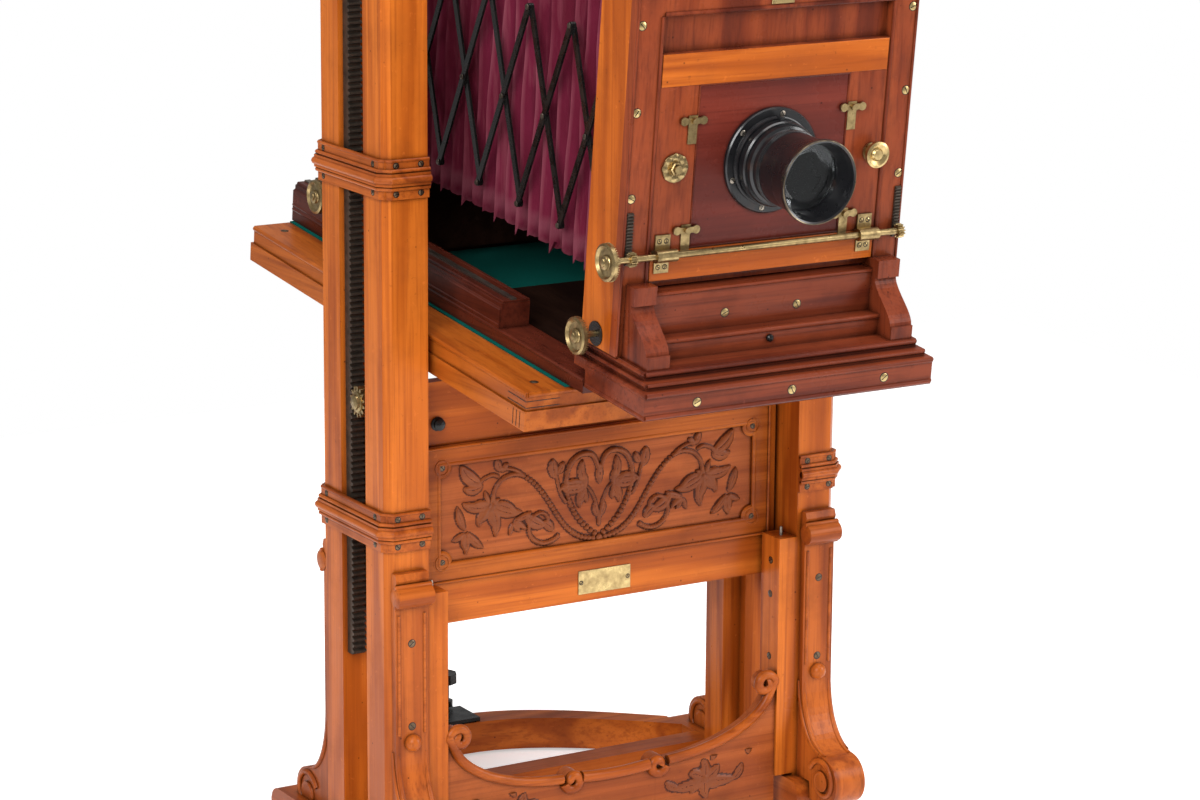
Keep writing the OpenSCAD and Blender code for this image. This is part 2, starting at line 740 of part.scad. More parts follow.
// Fixed brass on the rising panel: rod bearings, latch plates and a threaded rosette
module panel_brasses() color("goldenrod") on_table() {
    pair() {
        block([132, frame_front - 2.5, rod_z - 23], [152, frame_front, rod_z + 23]);
        difference() {
            union() {
                rod_x(128, 156, rod_y, rod_z, 7.5);
                block([128, rod_y, rod_z - 5], [156, frame_front - 1, rod_z + 5]);
            }
            rod_x(120, 160, rod_y, rod_z, pin_shaft_r + run);
        }
        for (z = [latch_up, latch_low]) block([latch_x - 6, frame_front - 1.5, z - 28], [latch_x + 6, frame_front, z + 6]);
    }
    rod_y(-132, frame_front, lens_z + 1, 3, 17);
    rod_y(-132, frame_front - 3, lens_z + 1, 8, 5);
}

module rise_rod() color("silver") on_table() {
    rod_x(-cheek_half - 12, cheek_half - 2, rod_y, rod_z, pin_shaft_r);
    knob_x(-cheek_half - 12, rod_y, rod_z);
    pair() pinion_x(rise_rack_x, rise_rack_w, rod_y, rod_z, fine_module, fine_teeth, 0);
}

module panel_knob() color("goldenrod") on_table() translate([143, frame_front - slip, lens_z - 2])
    rotate([90, 0, 0]) rotate_extrude() polygon([[0, 0], [11, 0], [11, 2], [5, 3.5], [5, 9], [small_knob_r - 2, 11],
        [small_knob_r, 13], [small_knob_r, 17], [small_knob_r - 3, 18], [8, 15.5], [6, 18], [0, 18.5]]);

// Turn button that overlaps the lens board when it lies across the joint
module latch(x, z) color("silver") on_table() {
    y = frame_front - 1.5 - slip;
    translate([x, y, z]) rotate([90, 0, 0]) {
        linear_extrude(2.5) union() {
            square([26, 7], center = true);
            for (s = [-1, 1]) translate([s * 13, 0]) circle(5);
        }
        cylinder(h = 6, r = 4);
    }
}

module latch_upper_left() latch(-latch_x, latch_up);
module latch_upper_right() latch(latch_x, latch_up);
module latch_lower_left() latch(-latch_x, latch_low);
module latch_lower_right() latch(latch_x, latch_low);

// Turned part about the lens axis; x is the radius and y the distance forward of the board's face
module turned() translate([0, frame_front, lens_z]) rotate([90, 0, 0]) rotate_extrude($fn = 96) children();

bore_r = barrel_r - 5;
flange_t = 5.5;
collar_end = 12;

module lens_flange() color("black") on_table() turned() polygon([
    [barrel_r + run, -22], [barrel_r + 4, -22], [barrel_r + 4, 0], [flange_r, 0], [flange_r, flange_t - 1.5],
    [flange_r - 1.5, flange_t], [barrel_r + 9, flange_t], [barrel_r + 7.5, collar_end], [barrel_r + run, collar_end]]);

ring_start = collar_end + slip;
ring_end = ring_start + 12;

module iris_ring() color("black") on_table() {
    turned() polygon([[barrel_r + run, ring_start], [barrel_r + 5, ring_start], [barrel_r + 6.5, ring_start + 2],
        [barrel_r + 6.5, ring_end - 2], [barrel_r + 5, ring_end], [barrel_r + run, ring_end]]);
    translate([0, frame_front - ring_start - 4, lens_z + barrel_r + 5]) block([-3, -4, 0], [3, 4, 6]);
}

module lens_barrel() color("black") on_table() turned() polygon([
    [bore_r, -30], [barrel_r, -30], [barrel_r, ring_end + slip], [barrel_r + 3, ring_end + slip],
    [barrel_r + 3, ring_end + 7], [barrel_r, ring_end + 9], [barrel_r, lens_out - 34], [hood_r - 1.5, lens_out - 8],
    [hood_r, lens_out - 6], [hood_r, lens_out - 1], [hood_r - 1, lens_out], [hood_r - 3.5, lens_out - 1],
    [hood_r - 5.5, lens_out - 9], [bore_r, lens_out - 24], [bore_r, 0]]);

// Front and rear elements, both bulging outwards
module lens_glass() color("lightblue") on_table() for (e = [[lens_out - 33, 1], [-14, -1]]) {
    rim = bore_r - run;
    translate([0, frame_front - e[0], lens_z]) rotate([90, 0, 0]) intersection() {
        translate([0, 0, -4]) cylinder(h = 20, r = rim, center = true, $fn = 96);
        translate([0, 0, -e[1] * 102]) sphere(r = 112, $fn = 96);
        translate([0, 0, e[1] * 3]) cube([2 * rim + 2, 2 * rim + 2, 18], center = true);
    }
}

// ---------- rear standard ----------
rear_end = rear_front + rear_depth;
light_half = 140;
light_z0 = 128;
light_z1 = 480;
back_half = 175;
back_t = 16;
back_axis_y = rear_end + slip + back_t / 2;
back_axis_z = 116;
back_pin_r = 3;

module rear_standard() color("maroon") on_table() {
    side = 22;
    z_run = tall_rail_h + track_t + slip;
    difference() {
        union() {
            pair() block([rear_half - side, rear_front, z_run], [rear_half, rear_end, standard_top + 4]);
            block([-rear_half + side, rear_front, standard_top - 18], [rear_half - side, rear_end, standard_top + 4]);
            block([-rear_half + side, rear_front, 82], [rear_half - side, rear_end, 100]);
            for (y = [rear_front, rear_end - rear_board])
                block([-rear_half + side, y, 82], [rear_half - side, y + rear_board, standard_top]);
            // Skirt that runs between the rails, just above the bed's boards
            block([-rail_in + 3, rear_front, low_rail_h - 6], [rail_in - 3, rear_front + rear_board, 82]);
        }
        block([-light_half, rear_front - 1, light_z0], [light_half, rear_end + 1, light_z1]);
        rod_x(-rear_half - 1, rear_half + 1, focus_y, focus_z, pin_shaft_r + run);
    }
    pair() {
        lug(rear_front - 22, rear_front, tong_rear, tong_pin_r + lug_slack);
        // Ear and pin that the hinged back turns on
        block([back_half + 0.6, rear_end, back_axis_z - 8], [rear_half - 10, back_axis_y + 7, back_axis_z + 8]);
        rod_x(back_half - 16, rear_half - 10, back_axis_y, back_axis_z, back_pin_r);
    }
}

module focus_shaft() color("goldenrod") on_table() {
    rod_x(-rear_half - 12, rear_half + 6, focus_y, focus_z, pin_shaft_r);
    knob_x(-rear_half - 12, focus_y, focus_z);
    pair() pinion_x(bed_rack_x, bed_rack_w, focus_y, focus_z, fine_module, fine_teeth, -90);
}

// Hinged back that carries the focusing screen; its lower edge is rounded about the hinge
module back_frame() color("maroon") on_table() {
    y = rear_end + slip;
    difference() {
        union() {
            block([-back_half, y, back_axis_z], [back_half, y + back_t, 500]);
            rod_x(-back_half, back_half, back_axis_y, back_axis_z, back_t / 2);
        }
        block([-light_half + 8, y - 1, light_z0 + 8], [light_half - 8, y + back_t + 1, light_z1 - 8]);
        block([-light_half, y + 4, light_z0], [light_half, y + 7, light_z1]);
        pair() rod_x(back_half - 18, back_half + 1, back_axis_y, back_axis_z, back_pin_r + run);
    }
}

module ground_glass() color("lightblue") on_table()
    block([-light_half + 0.5, rear_end + slip + 4.2, light_z0 + 0.5],
          [light_half - 0.5, rear_end + slip + 6.8, light_z1 - 0.5]);

module bellows() color("darkmagenta") on_table() difference() {
    y0 = frame_front + face_t + slip;
    y1 = rear_front - slip;
    block([-bellows_half, y0, bellows_z], [bellows_half, y1, bellows_top]);
    block([-bellows_half + bellows_wall, y0 - 1, bellows_z + bellows_wall],
          [bellows_half - bellows_wall, y1 + 1, bellows_top - bellows_wall]);
}

// ---------- lazy tongs ----------
// Bar outline from its lower to its upper pivot; dir is 1 when it rises towards the rear
module bar(y, dir, x0, holes) {
    translate([x0, y, tong_z]) rotate([dir < 0 ? tong_angle : -tong_angle, 0, 0]) slab_x(0, tong_t) difference() {
        union() {
            translate([-tong_w / 2, 0]) square([tong_w, tong_len]);
            for (z = [0, tong_len]) translate([0, z]) circle(tong_w / 2);
        }
        for (z = holes) translate([0, z]) circle(tong_pin_r + run);
    }
}

// Bars of set a rise towards the rear and carry the pins
module tong_a(k) color("black") on_table() pair() {
    y0 = tong_front + (k - 1) * tong_step;
    bar(y0, 1, tong_x_a, []);
    low_end = k == 1 ? lug_x + lug_t - 1 : tong_x_b + tong_t + 1;
    high_end = k == tong_cells ? lug_x + lug_t - 1 : tong_x_b + tong_t + 1;
    mid_end = tong_x_b + tong_t + 1;
    rod_x(tong_x_a, low_end, y0, tong_z, tong_pin_r);
    rod_x(tong_x_a, mid_end, y0 + tong_step / 2, (tong_z + tong_high) / 2, tong_pin_r);
    rod_x(tong_x_a, high_end, y0 + tong_step, tong_high, tong_pin_r);
}

// Bars of set b fall towards the rear and turn on the pins of set a
module tong_b(k) color("black") on_table() pair() {
    y1 = tong_front + k * tong_step;
    first = k == 1;
    last = k == tong_cells;
    bar(y1, -1, tong_x_b, concat(last ? [] : [0], [tong_len / 2], first ? [] : [tong_len]));
    if (first) rod_x(tong_x_b + 1, lug_x + lug_t - 1, y1 - tong_step, tong_high, tong_pin_r);
    if (last) rod_x(tong_x_b + 1, lug_x + lug_t - 1, y1, tong_z, tong_pin_r);
}

module tong_a1() tong_a(1);
module tong_a2() tong_a(2);
module tong_a3() tong_a(3);
module tong_a4() tong_a(4);
module tong_a5() tong_a(5);
module tong_b1() tong_b(1);
module tong_b2() tong_b(2);
module tong_b3() tong_b(3);
module tong_b4() tong_b(4);
module tong_b5() tong_b(5);

front_posts();
rear_posts();
post_collars();
column_caps();
lift_racks();
side_feet();
base_beams();
front_apron();
scroll_brackets();
guide_battens();
rear_foot_iron();
foot_screw();
carriage_panel();
carriage_rails();
carriage_cheeks();
carriage_back();
blank_plate();
lift_shaft();
table_top();
table_frame();
table_baize();
tilt_irons();
tilt_clamp();
bed_rails();
bed_boards();
bed_tracks();
standard_cheeks();
front_frame();
plinth();
ogee_brackets();
front_racks();
lock_knob();
rising_panel();
lens_board();
panel_brasses();
rise_rod();
panel_knob();
latch_upper_left();
latch_upper_right();
latch_lower_left();
latch_lower_right();
lens_flange();
lens_barrel();
iris_ring();
lens_glass();
rear_standard();
focus_shaft();
back_frame();
ground_glass();
bellows();
tong_a1();
tong_a2();
tong_a3();
tong_a4();
tong_a5();
tong_b1();
tong_b2();
tong_b3();
tong_b4();
tong_b5();
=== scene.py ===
"""Looks of a studio plate camera on its carved two-column stand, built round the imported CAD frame.

Pieces are drawn in millimetres in one of two frames: STAND, whose zero is on the floor under the columns'
centre line, and TABLE, the tilted table's own frame. Lens towards -Y, +Z up.
"""
import json
import math

import bmesh
import bpy
import numpy as np
from mathutils import Matrix, Vector


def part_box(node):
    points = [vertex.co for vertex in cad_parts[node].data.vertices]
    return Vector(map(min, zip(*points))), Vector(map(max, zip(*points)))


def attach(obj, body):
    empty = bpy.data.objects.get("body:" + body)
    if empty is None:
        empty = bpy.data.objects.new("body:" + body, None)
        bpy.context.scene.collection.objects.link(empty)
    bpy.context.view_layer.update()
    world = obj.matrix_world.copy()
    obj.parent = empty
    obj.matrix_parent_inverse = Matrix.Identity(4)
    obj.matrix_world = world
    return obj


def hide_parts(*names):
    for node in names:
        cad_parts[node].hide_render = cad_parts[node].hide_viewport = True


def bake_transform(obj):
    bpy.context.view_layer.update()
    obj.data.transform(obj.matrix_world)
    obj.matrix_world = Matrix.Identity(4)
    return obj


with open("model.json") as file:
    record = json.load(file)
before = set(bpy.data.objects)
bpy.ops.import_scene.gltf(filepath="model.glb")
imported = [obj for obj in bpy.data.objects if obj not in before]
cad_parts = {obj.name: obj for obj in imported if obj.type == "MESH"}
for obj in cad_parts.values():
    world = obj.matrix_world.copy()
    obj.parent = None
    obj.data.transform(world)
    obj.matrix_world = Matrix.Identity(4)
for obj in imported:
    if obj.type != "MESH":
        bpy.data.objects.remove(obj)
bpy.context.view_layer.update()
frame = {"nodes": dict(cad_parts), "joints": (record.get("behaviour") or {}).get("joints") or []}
NODES = frame["nodes"]
JOINTS = {j["name"]: j for j in frame["joints"]}

# ---------- frames ----------
MM = Matrix.Scale(0.001, 4)
slide_axis = Vector(JOINTS["focus_slide"]["axis"])
tilt = math.atan2(slide_axis.z, slide_axis.y)
shaft_at = Vector(JOINTS["lift_shaft_turn"]["pos_m"])
centre_y = shaft_at.y
STAND = Matrix.Translation((0, centre_y, 0)) @ MM
LIFT_SHAFT = Matrix.Translation(shaft_at) @ MM
# The tilt hinge's place in the table's own frame, in metres
HINGE_IN_TABLE = Vector((0, 0.015, -0.066))
TABLE = (Matrix.Translation(Vector(JOINTS["table_tilt"]["pos_m"])) @ Matrix.Rotation(tilt, 4, "X")
         @ Matrix.Translation(-HINGE_IN_TABLE) @ MM)


# ---------- materials ----------
class Shader:
    """A material's node tree, with short calls for the nodes used here."""

    def __init__(self, name):
        self.mat = bpy.data.materials.new(name)
        self.mat.use_nodes = True
        self.tree = self.mat.node_tree
        self.bsdf = self.tree.nodes["Principled BSDF"]
        self.coord = self.tree.nodes.new("ShaderNodeTexCoord").outputs["Object"]

    def link(self, source, target):
        self.tree.links.new(source, target)

    def feed(self, socket, value):
        if isinstance(value, bpy.types.NodeSocket):
            self.link(value, socket)
        else:
            socket.default_value = value

    def stretch(self, scale):
        node = self.tree.nodes.new("ShaderNodeMapping")
        node.inputs["Scale"].default_value = scale
        self.link(self.coord, node.inputs["Vector"])
        return node.outputs["Vector"]

    def noise(self, vector, scale, detail=3.0, rough=0.5, distortion=0.0):
        node = self.tree.nodes.new("ShaderNodeTexNoise")
        self.link(vector, node.inputs["Vector"])
        node.inputs["Scale"].default_value = scale
        node.inputs["Detail"].default_value = detail
        node.inputs["Roughness"].default_value = rough
        node.inputs["Distortion"].default_value = distortion
        return node.outputs["Fac"]

    def voronoi(self, scale):
        node = self.tree.nodes.new("ShaderNodeTexVoronoi")
        self.link(self.coord, node.inputs["Vector"])
        node.inputs["Scale"].default_value = scale
        return node.outputs["Distance"]

    def math(self, op, a, b=0.0, c=0.0):
        node = self.tree.nodes.new("ShaderNodeMath")
        node.operation = op
        for socket, value in zip(node.inputs, (a, b, c)):
            self.feed(socket, value)
        return node.outputs[0]

    def ramp(self, fac, stops):
        node = self.tree.nodes.new("ShaderNodeValToRGB")
        points = node.color_ramp.elements
        while len(points) < len(stops):
            points.new(0.5)
        for point, (position, colour) in zip(points, stops):
            point.position = position
            point.color = (*colour, 1)
        self.link(fac, node.inputs["Fac"])
        return node.outputs["Color"]

    def mix(self, fac, a, b, mode="MIX"):
        node = self.tree.nodes.new("ShaderNodeMix")
        node.data_type = "RGBA"
        node.blend_type = mode
        self.feed(node.inputs[0], fac)
        for socket, value in zip((node.inputs[6], node.inputs[7]), (a, b)):
            self.feed(socket, value if isinstance(value, bpy.types.NodeSocket) else (*value, 1))
        return node.outputs[2]

    def range(self, value, low, high, to_low=0.0, to_high=1.0):
        node = self.tree.nodes.new("ShaderNodeMapRange")
        self.link(value, node.inputs["Value"])
        for key, number in (("From Min", low), ("From Max", high), ("To Min", to_low), ("To Max", to_high)):
            node.inputs[key].default_value = number
        return node.outputs["Result"]

    def attribute(self, name):
        node = self.tree.nodes.new("ShaderNodeAttribute")
        node.attribute_name = name
        return node.outputs["Fac"]

    def corners(self, distance=0.012):
        """Ambient occlusion: 1 on open faces, falling towards 0 in inside corners and seams, where it paints
        shade.
        """
        node = self.tree.nodes.new("ShaderNodeAmbientOcclusion")
        node.samples = 6
        node.inputs["Distance"].default_value = distance
        return node.outputs["AO"]

    def bump(self, height, strength, distance=0.001):
        node = self.tree.nodes.new("ShaderNodeBump")
        node.inputs["Strength"].default_value = strength
        node.inputs["Distance"].default_value = distance
        self.link(height, node.inputs["Height"])
        self.link(node.outputs["Normal"], self.bsdf.inputs["Normal"])

    def set(self, **values):
        for key, value in values.items():
            self.feed(self.bsdf.inputs[key.replace("_", " ")], value)


def shade(colour, share):
    """A share of the colour's brightness."""
    return tuple(share * c for c in colour)


def wood(name, light, mid, dark, grain="z", rough=0.34, stain=0.35, coat=0.07, relief=False, rings=26,
         shine=0.12):
    """Polished softwood or mahogany with its grain along one axis of the row frame."""
    s = Shader(name)

    def streaks(across, lengthwise, roughness, distortion=0.0):
        """Noise drawn out along the grain."""
        scale = [across] * 3
        scale["xyz".index(grain)] = lengthwise
        return s.noise(s.stretch(scale), 1.0, 2.0, roughness, distortion)

    broad = streaks(17.0, 1.3, 0.5, 0.35)
    pores = streaks(330.0, 9.0, 0.6)
    hair = streaks(150.0, 2.2, 0.55)
    blotch = s.noise(s.coord, 9.0, 5.0, 0.66)
    marks = s.noise(s.coord, 95.0, 3.0, 0.75)
    ring = s.range(s.math("SINE", s.math("MULTIPLY", broad, float(rings))), -1, 1)
    tone = s.math("ADD", s.math("MULTIPLY", ring, 0.3), s.math("MULTIPLY", broad, 0.7))
    colour = s.ramp(tone, [(0.12, dark), (0.42, mid), (0.72, light)])
    rubbed = tuple(min(1.0, 1.35 * c + 0.012) for c in light)
    # Layers: a pattern, the two values it fades between, its strength at each, and its colour
    for pattern, low, high, at_low, at_high, tint in (
            (hair, 0.5, 0.72, 0, 0.5, dark),
            (pores, 0.52, 0.7, 0, 0.35, dark),
            (blotch, 0.5, 0.78, 0, stain, shade(dark, 0.42)),
            # Handling marks: small dark scuffs and paler rubbed places
            (marks, 0.66, 0.76, 0, 0.45, shade(dark, 0.3)),
            (marks, 0.36, 0.27, 0, 0.25, rubbed),
            # Specks, and painted shade in the inside corners and seams from an ambient occlusion node
            (s.voronoi(38.0), 0.03, 0.06, 0.75, 0, shade(dark, 0.2)),
            (s.corners(), 0.35, 0.8, 0.8, 0, shade(dark, 0.12))):
        colour = s.mix(s.range(pattern, low, high, at_low, at_high), colour, tint)
    height = s.math("ADD", s.math("MULTIPLY", pores, 0.5), s.math("MULTIPLY", blotch, 0.5))
    if relief:
        # The relief value is 0 on the ground, 0.2 on outlines and veins, and above 0.5 on the carving
        raised = s.attribute("relief")
        colour = s.mix(s.range(raised, 0.45, 0.75, 0, 0.62), colour, (0.135, 0.040, 0.016))
        # Painted shade: outlines and veins darkened as if their grooves were in shadow
        outline = s.math("MINIMUM", s.range(raised, 0.02, 0.12), s.range(raised, 0.3, 0.5, 1, 0))
        colour = s.mix(s.math("MULTIPLY", outline, 0.85), colour, (0.030, 0.008, 0.005))
        height = s.math("ADD", height, s.math("MULTIPLY", s.noise(s.coord, 420.0, 2.0), 0.9))
    s.set(Base_Color=colour, Roughness=s.range(blotch, 0.3, 0.75, rough - 0.08, rough + 0.16),
          Coat_Weight=coat, Coat_Roughness=0.22, Specular_IOR_Level=shine)
    s.bump(height, 0.35, 0.0006)
    return s.mat


def metal(name, colour, tarnish, rough=0.32, spread=0.5, metallic=1.0, fine=60.0, shine=0.5):
    """Worn metal: tarnish gathers in patches, and the surface is finely scratched."""
    s = Shader(name)
    patch = s.noise(s.coord, fine, 5.0, 0.62)
    scratch = s.noise(s.stretch((900.0, 120.0, 500.0)), 1.0, 2.0)
    s.set(Base_Color=s.mix(s.range(patch, 0.38, 0.68, 0, spread), colour, tarnish),
          Metallic=metallic, Roughness=s.range(patch, 0.3, 0.75, rough - 0.08, rough + 0.22),
          Specular_IOR_Level=shine)
    s.bump(s.math("ADD", patch, s.math("MULTIPLY", scratch, 0.6)), 0.25, 0.0004)
    return s.mat


def baize():
    """Green woollen cloth, worn darker in places."""
    s = Shader("green_baize")
    fuzz = s.noise(s.coord, 900.0, 4.0, 0.7)
    worn = s.noise(s.coord, 12.0, 3.0)
    colour = s.mix(s.range(fuzz, 0.3, 0.7), (0.0, 0.055, 0.044), (0.0, 0.105, 0.085))
    s.set(Base_Color=s.mix(s.range(worn, 0.5, 0.8, 0, 0.3), colour, (0.0, 0.045, 0.038)), Roughness=1.0,
          Specular_IOR_Level=0.08)
    s.bump(fuzz, 0.6, 0.0008)
    return s.mat


def bellows_cloth():
    """Wine-red rubbed cloth: paler along the fold ridges (partly rubbed wear, partly painted highlight),
    darker in the fold valleys (painted shade), paler at the worn hem, with a fine weave.
    """
    s = Shader("bellows_cloth")
    weave_a = s.noise(s.stretch((1500.0, 1500.0, 260.0)), 1.0, 1.0)
    weave_b = s.noise(s.stretch((260.0, 1500.0, 1500.0)), 1.0, 1.0)
    weave = s.math("ADD", weave_a, weave_b)
    fade = s.noise(s.stretch((9.0, 9.0, 4.0)), 1.0, 5.0, 0.65)
    ridge = s.attribute("relief")
    colour = s.mix(s.range(fade, 0.35, 0.7), (0.074, 0.003, 0.012), (0.125, 0.010, 0.030))
    threads = s.noise(s.stretch((60.0, 60.0, 2.5)), 1.0, 3.0, 0.7)
    colour = s.mix(s.range(threads, 0.5, 0.66, 0, 0.6), colour, (0.17, 0.034, 0.052))
    # Ridges painted paler: partly rubbed wear, partly a painted highlight on the folds
    rubbed = s.math("MULTIPLY", s.range(ridge, 0.8, 1.0), s.range(fade, 0.42, 0.6, 0.15, 1.0))
    colour = s.mix(s.math("MULTIPLY", rubbed, 0.5), colour, (0.24, 0.070, 0.092))
    # Painted shade: the fold valleys darkened
    colour = s.mix(s.range(ridge, 0.08, 0.55, 0.92, 0), colour, (0.022, 0.001, 0.004))
    hem = s.attribute("hem")
    torn = s.noise(s.stretch((130.0, 130.0, 14.0)), 1.0, 3.0, 0.7)
    frayed = s.math("MULTIPLY", s.range(hem, 0.2, 0.8), s.range(torn, 0.38, 0.62, 0.1, 0.7))
    colour = s.mix(frayed, colour, (0.115, 0.022, 0.036))
    seam = s.math("MINIMUM", s.range(hem, 0.30, 0.42), s.range(hem, 0.52, 0.64, 1, 0))
    colour = s.mix(s.math("MULTIPLY", seam, 0.3), colour, (0.20, 0.065, 0.085))
    s.set(Base_Color=colour, Roughness=s.range(fade, 0.3, 0.7, 0.6, 0.85), Specular_IOR_Level=0.08)
    s.bump(s.math("ADD", s.math("MULTIPLY", weave, 0.5), s.math("MULTIPLY", fade, 1.5)), 0.5, 0.0012)
    return s.mat


def lacquer():
    """Black lacquer, rubbed brown where fingers hold it."""
    s = Shader("lens_lacquer")
    rub = s.noise(s.coord, 28.0, 5.0, 0.7)
    s.set(Base_Color=s.mix(s.range(rub, 0.56, 0.75, 0, 0.6), (0.006, 0.006, 0.007), (0.05, 0.022, 0.014)),
          Roughness=s.range(rub, 0.3, 0.7, 0.22, 0.42), Specular_IOR_Level=0.35,
          Coat_Weight=0.3, Coat_Roughness=0.12)
    s.bump(rub, 0.12, 0.0005)
    return s.mat


def glass(name, tint, rough):
    """Clear or ground glass with a little dust."""
    s = Shader(name)
    dust = s.noise(s.coord, 140.0, 4.0, 0.7)
    s.set(Base_Color=tint, Roughness=s.range(dust, 0.4, 0.8, rough, rough + 0.08),
          Transmission_Weight=1.0, IOR=1.5)
    s.bump(dust, 0.03, 0.0002)
    return s.mat


# Light, middle and dark tone of each wood
HONEY = ((0.53, 0.132, 0.014), (0.385, 0.084, 0.008), (0.20, 0.034, 0.004))
TAN = ((0.40, 0.098, 0.011), (0.29, 0.062, 0.006), (0.15, 0.026, 0.003))
AMBER = ((0.41, 0.096, 0.013), (0.30, 0.062, 0.008), (0.14, 0.024, 0.004))
MAHOGANY = ((0.180, 0.034, 0.012), (0.112, 0.018, 0.007), (0.040, 0.006, 0.003))
CARVED = ((0.35, 0.086, 0.018), (0.265, 0.058, 0.011), (0.15, 0.028, 0.006))
RUSSET = ((0.245, 0.048, 0.014), (0.165, 0.028, 0.009), (0.075, 0.012, 0.005))
RAIL = ((0.105, 0.020, 0.010), (0.060, 0.010, 0.005), (0.022, 0.004, 0.003))
RED_BOARD = ((0.175, 0.030, 0.018), (0.120, 0.019, 0.012), (0.06, 0.009, 0.006))
DARK_BOARD = ((0.020, 0.008, 0.005), (0.013, 0.005, 0.003), (0.006, 0.002, 0.002))


def woods(name, palette, axes, **finish):
    """One wood, with its grain along each of the axes."""
    return {axis: wood(f"{name}_{axis}", *palette, grain=axis, **finish) for axis in axes}


honey = woods("honey_wood", HONEY, "xz")
tan = woods("tan_wood", TAN, "xy")
amber = woods("amber_wood", AMBER, "xyz", stain=0.5)
mahogany = woods("mahogany", MAHOGANY, "xz", rough=0.3, stain=0.5, coat=0.08, rings=14)
russet = wood("russet_wood_z", *RUSSET, rough=0.3, stain=0.5, coat=0.1, rings=16)
rail_wood = wood("rail_mahogany", *RAIL, grain="y", rough=0.26, stain=0.5, coat=0.15, rings=14)
carved = wood("carved_wood_x", *CARVED, grain="x", rough=0.4, stain=0.45, relief=True)
red_board = wood("lens_board_wood", *RED_BOARD, grain="x", rough=0.27, coat=0.15, rings=12)
dark_board = wood("bed_board_wood", *DARK_BOARD, grain="y", rough=0.9, coat=0.0, rings=12, shine=0.02)
brass = metal("aged_brass", (0.40, 0.29, 0.135), (0.10, 0.066, 0.030), 0.33, 0.75, fine=95.0)
bright_brass = metal("worn_brass", (0.52, 0.38, 0.17), (0.20, 0.13, 0.058), 0.30, 0.6, fine=110.0)
rim_brass = metal("rubbed_rim", (0.20, 0.15, 0.09), (0.02, 0.018, 0.016), 0.3, 0.9)
iron = metal("black_iron", (0.005, 0.005, 0.005), (0.018, 0.014, 0.012), 0.22, 0.4, 0.1, shine=0.3)
rack_iron = metal("rack_iron", (0.085, 0.066, 0.050), (0.022, 0.016, 0.012), 0.42, 0.8, 0.7)
dull_screw = metal("dull_screw", (0.17, 0.115, 0.07), (0.045, 0.028, 0.018), 0.42, 0.7, 0.9)
steel = metal("worn_steel", (0.34, 0.30, 0.25), (0.12, 0.09, 0.065), 0.36, 0.7)
cloth = bellows_cloth()
black = lacquer()
felt = baize()
lens_glass = glass("lens_glass", (0.80, 0.84, 0.86, 1), 0.015)
ground_glass = glass("ground_glass", (0.9, 0.94, 0.93, 1), 0.45)


def bevel(obj, width):
    """Softens the hard edges of a piece; width in millimetres."""
    mod = obj.modifiers.new("soft_edges", "BEVEL")
    mod.width = width * 0.001
    mod.segments = 2
    mod.limit_method = "ANGLE"
    mod.angle_limit = math.radians(40)
    mod.harden_normals = False


# Each CAD node's material, and the width of its softened edges in millimetres
LOOKS = {
    # Stand
    "front_posts": (honey["z"], 1.6), "rear_posts": (honey["z"], 1.6), "guide_battens": (honey["z"], 2.0),
    "post_collars": (amber["y"], 1.2), "column_caps": (amber["y"], 1.5), "side_feet": (amber["y"], 2.0),
    "scroll_brackets": (amber["z"], 1.5), "base_beams": (honey["x"], 2.0), "front_apron": (carved, 1.5),
    "lift_racks": (rack_iron, 0), "rear_foot_iron": (iron, 0.6), "foot_screw": (iron, 0.4),
    # Carriage
    "carriage_panel": (tan["x"], 1.2), "carriage_back": (honey["x"], 1.2),
    "carriage_rails": (honey["x"], 1.2),
    "carriage_cheeks": (honey["z"], 0.8), "blank_plate": (bright_brass, 0.2), "lift_shaft": (brass, 0),
    # Table and bed
    "table_top": (tan["y"], 1.6), "table_frame": (tan["y"], 1.6), "table_baize": (felt, 0),
    "tilt_irons": (iron, 0), "tilt_clamp": (brass, 0.4),
    "bed_rails": (rail_wood, 1.0), "bed_boards": (dark_board, 0.8), "bed_tracks": (steel, 0),
    # Front standard and lens
    "standard_cheeks": (honey["z"], 1.4), "front_frame": (russet, 1.0), "rising_panel": (russet, 0.6),
    "plinth": (mahogany["x"], 1.4), "ogee_brackets": (mahogany["z"], 1.4), "lens_board": (red_board, 0.8),
    "front_racks": (rack_iron, 0), "panel_brasses": (brass, 0.3), "panel_knob": (bright_brass, 0),
    "lock_knob": (brass, 0), "rise_rod": (brass, 0), "lens_flange": (black, 0.4), "lens_barrel": (black, 0),
    "iris_ring": (black, 0.3), "lens_glass": (lens_glass, 0),
    # Rear standard and bellows
    "rear_standard": (mahogany["z"], 1.4), "back_frame": (mahogany["z"], 1.4), "focus_shaft": (brass, 0),
    "ground_glass": (ground_glass, 0), "bellows": (cloth, 0),
}
TONG_CELLS = 5
for corner in ("upper_left", "upper_right", "lower_left", "lower_right"):
    LOOKS["latch_" + corner] = (brass, 0.4)
for cell in range(1, TONG_CELLS + 1):
    LOOKS[f"tong_a{cell}"] = LOOKS[f"tong_b{cell}"] = (iron, 0.5)
for node_name, (look, edge) in LOOKS.items():
    node = NODES[node_name]
    node.data.materials.clear()
    node.data.materials.append(look)
    if edge:
        bevel(node, edge)


# ---------- mesh helpers ----------
def along(axis):
    """Rotation that turns +Z to the given direction."""
    return Vector(axis).to_track_quat("Z", "Y").to_matrix().to_4x4()


def skin(rings, n):
    """Faces between rings of n points each."""
    return [(i * n + k, i * n + (k + 1) % n, (i + 1) * n + (k + 1) % n, (i + 1) * n + k)
            for i in range(rings - 1) for k in range(n)]


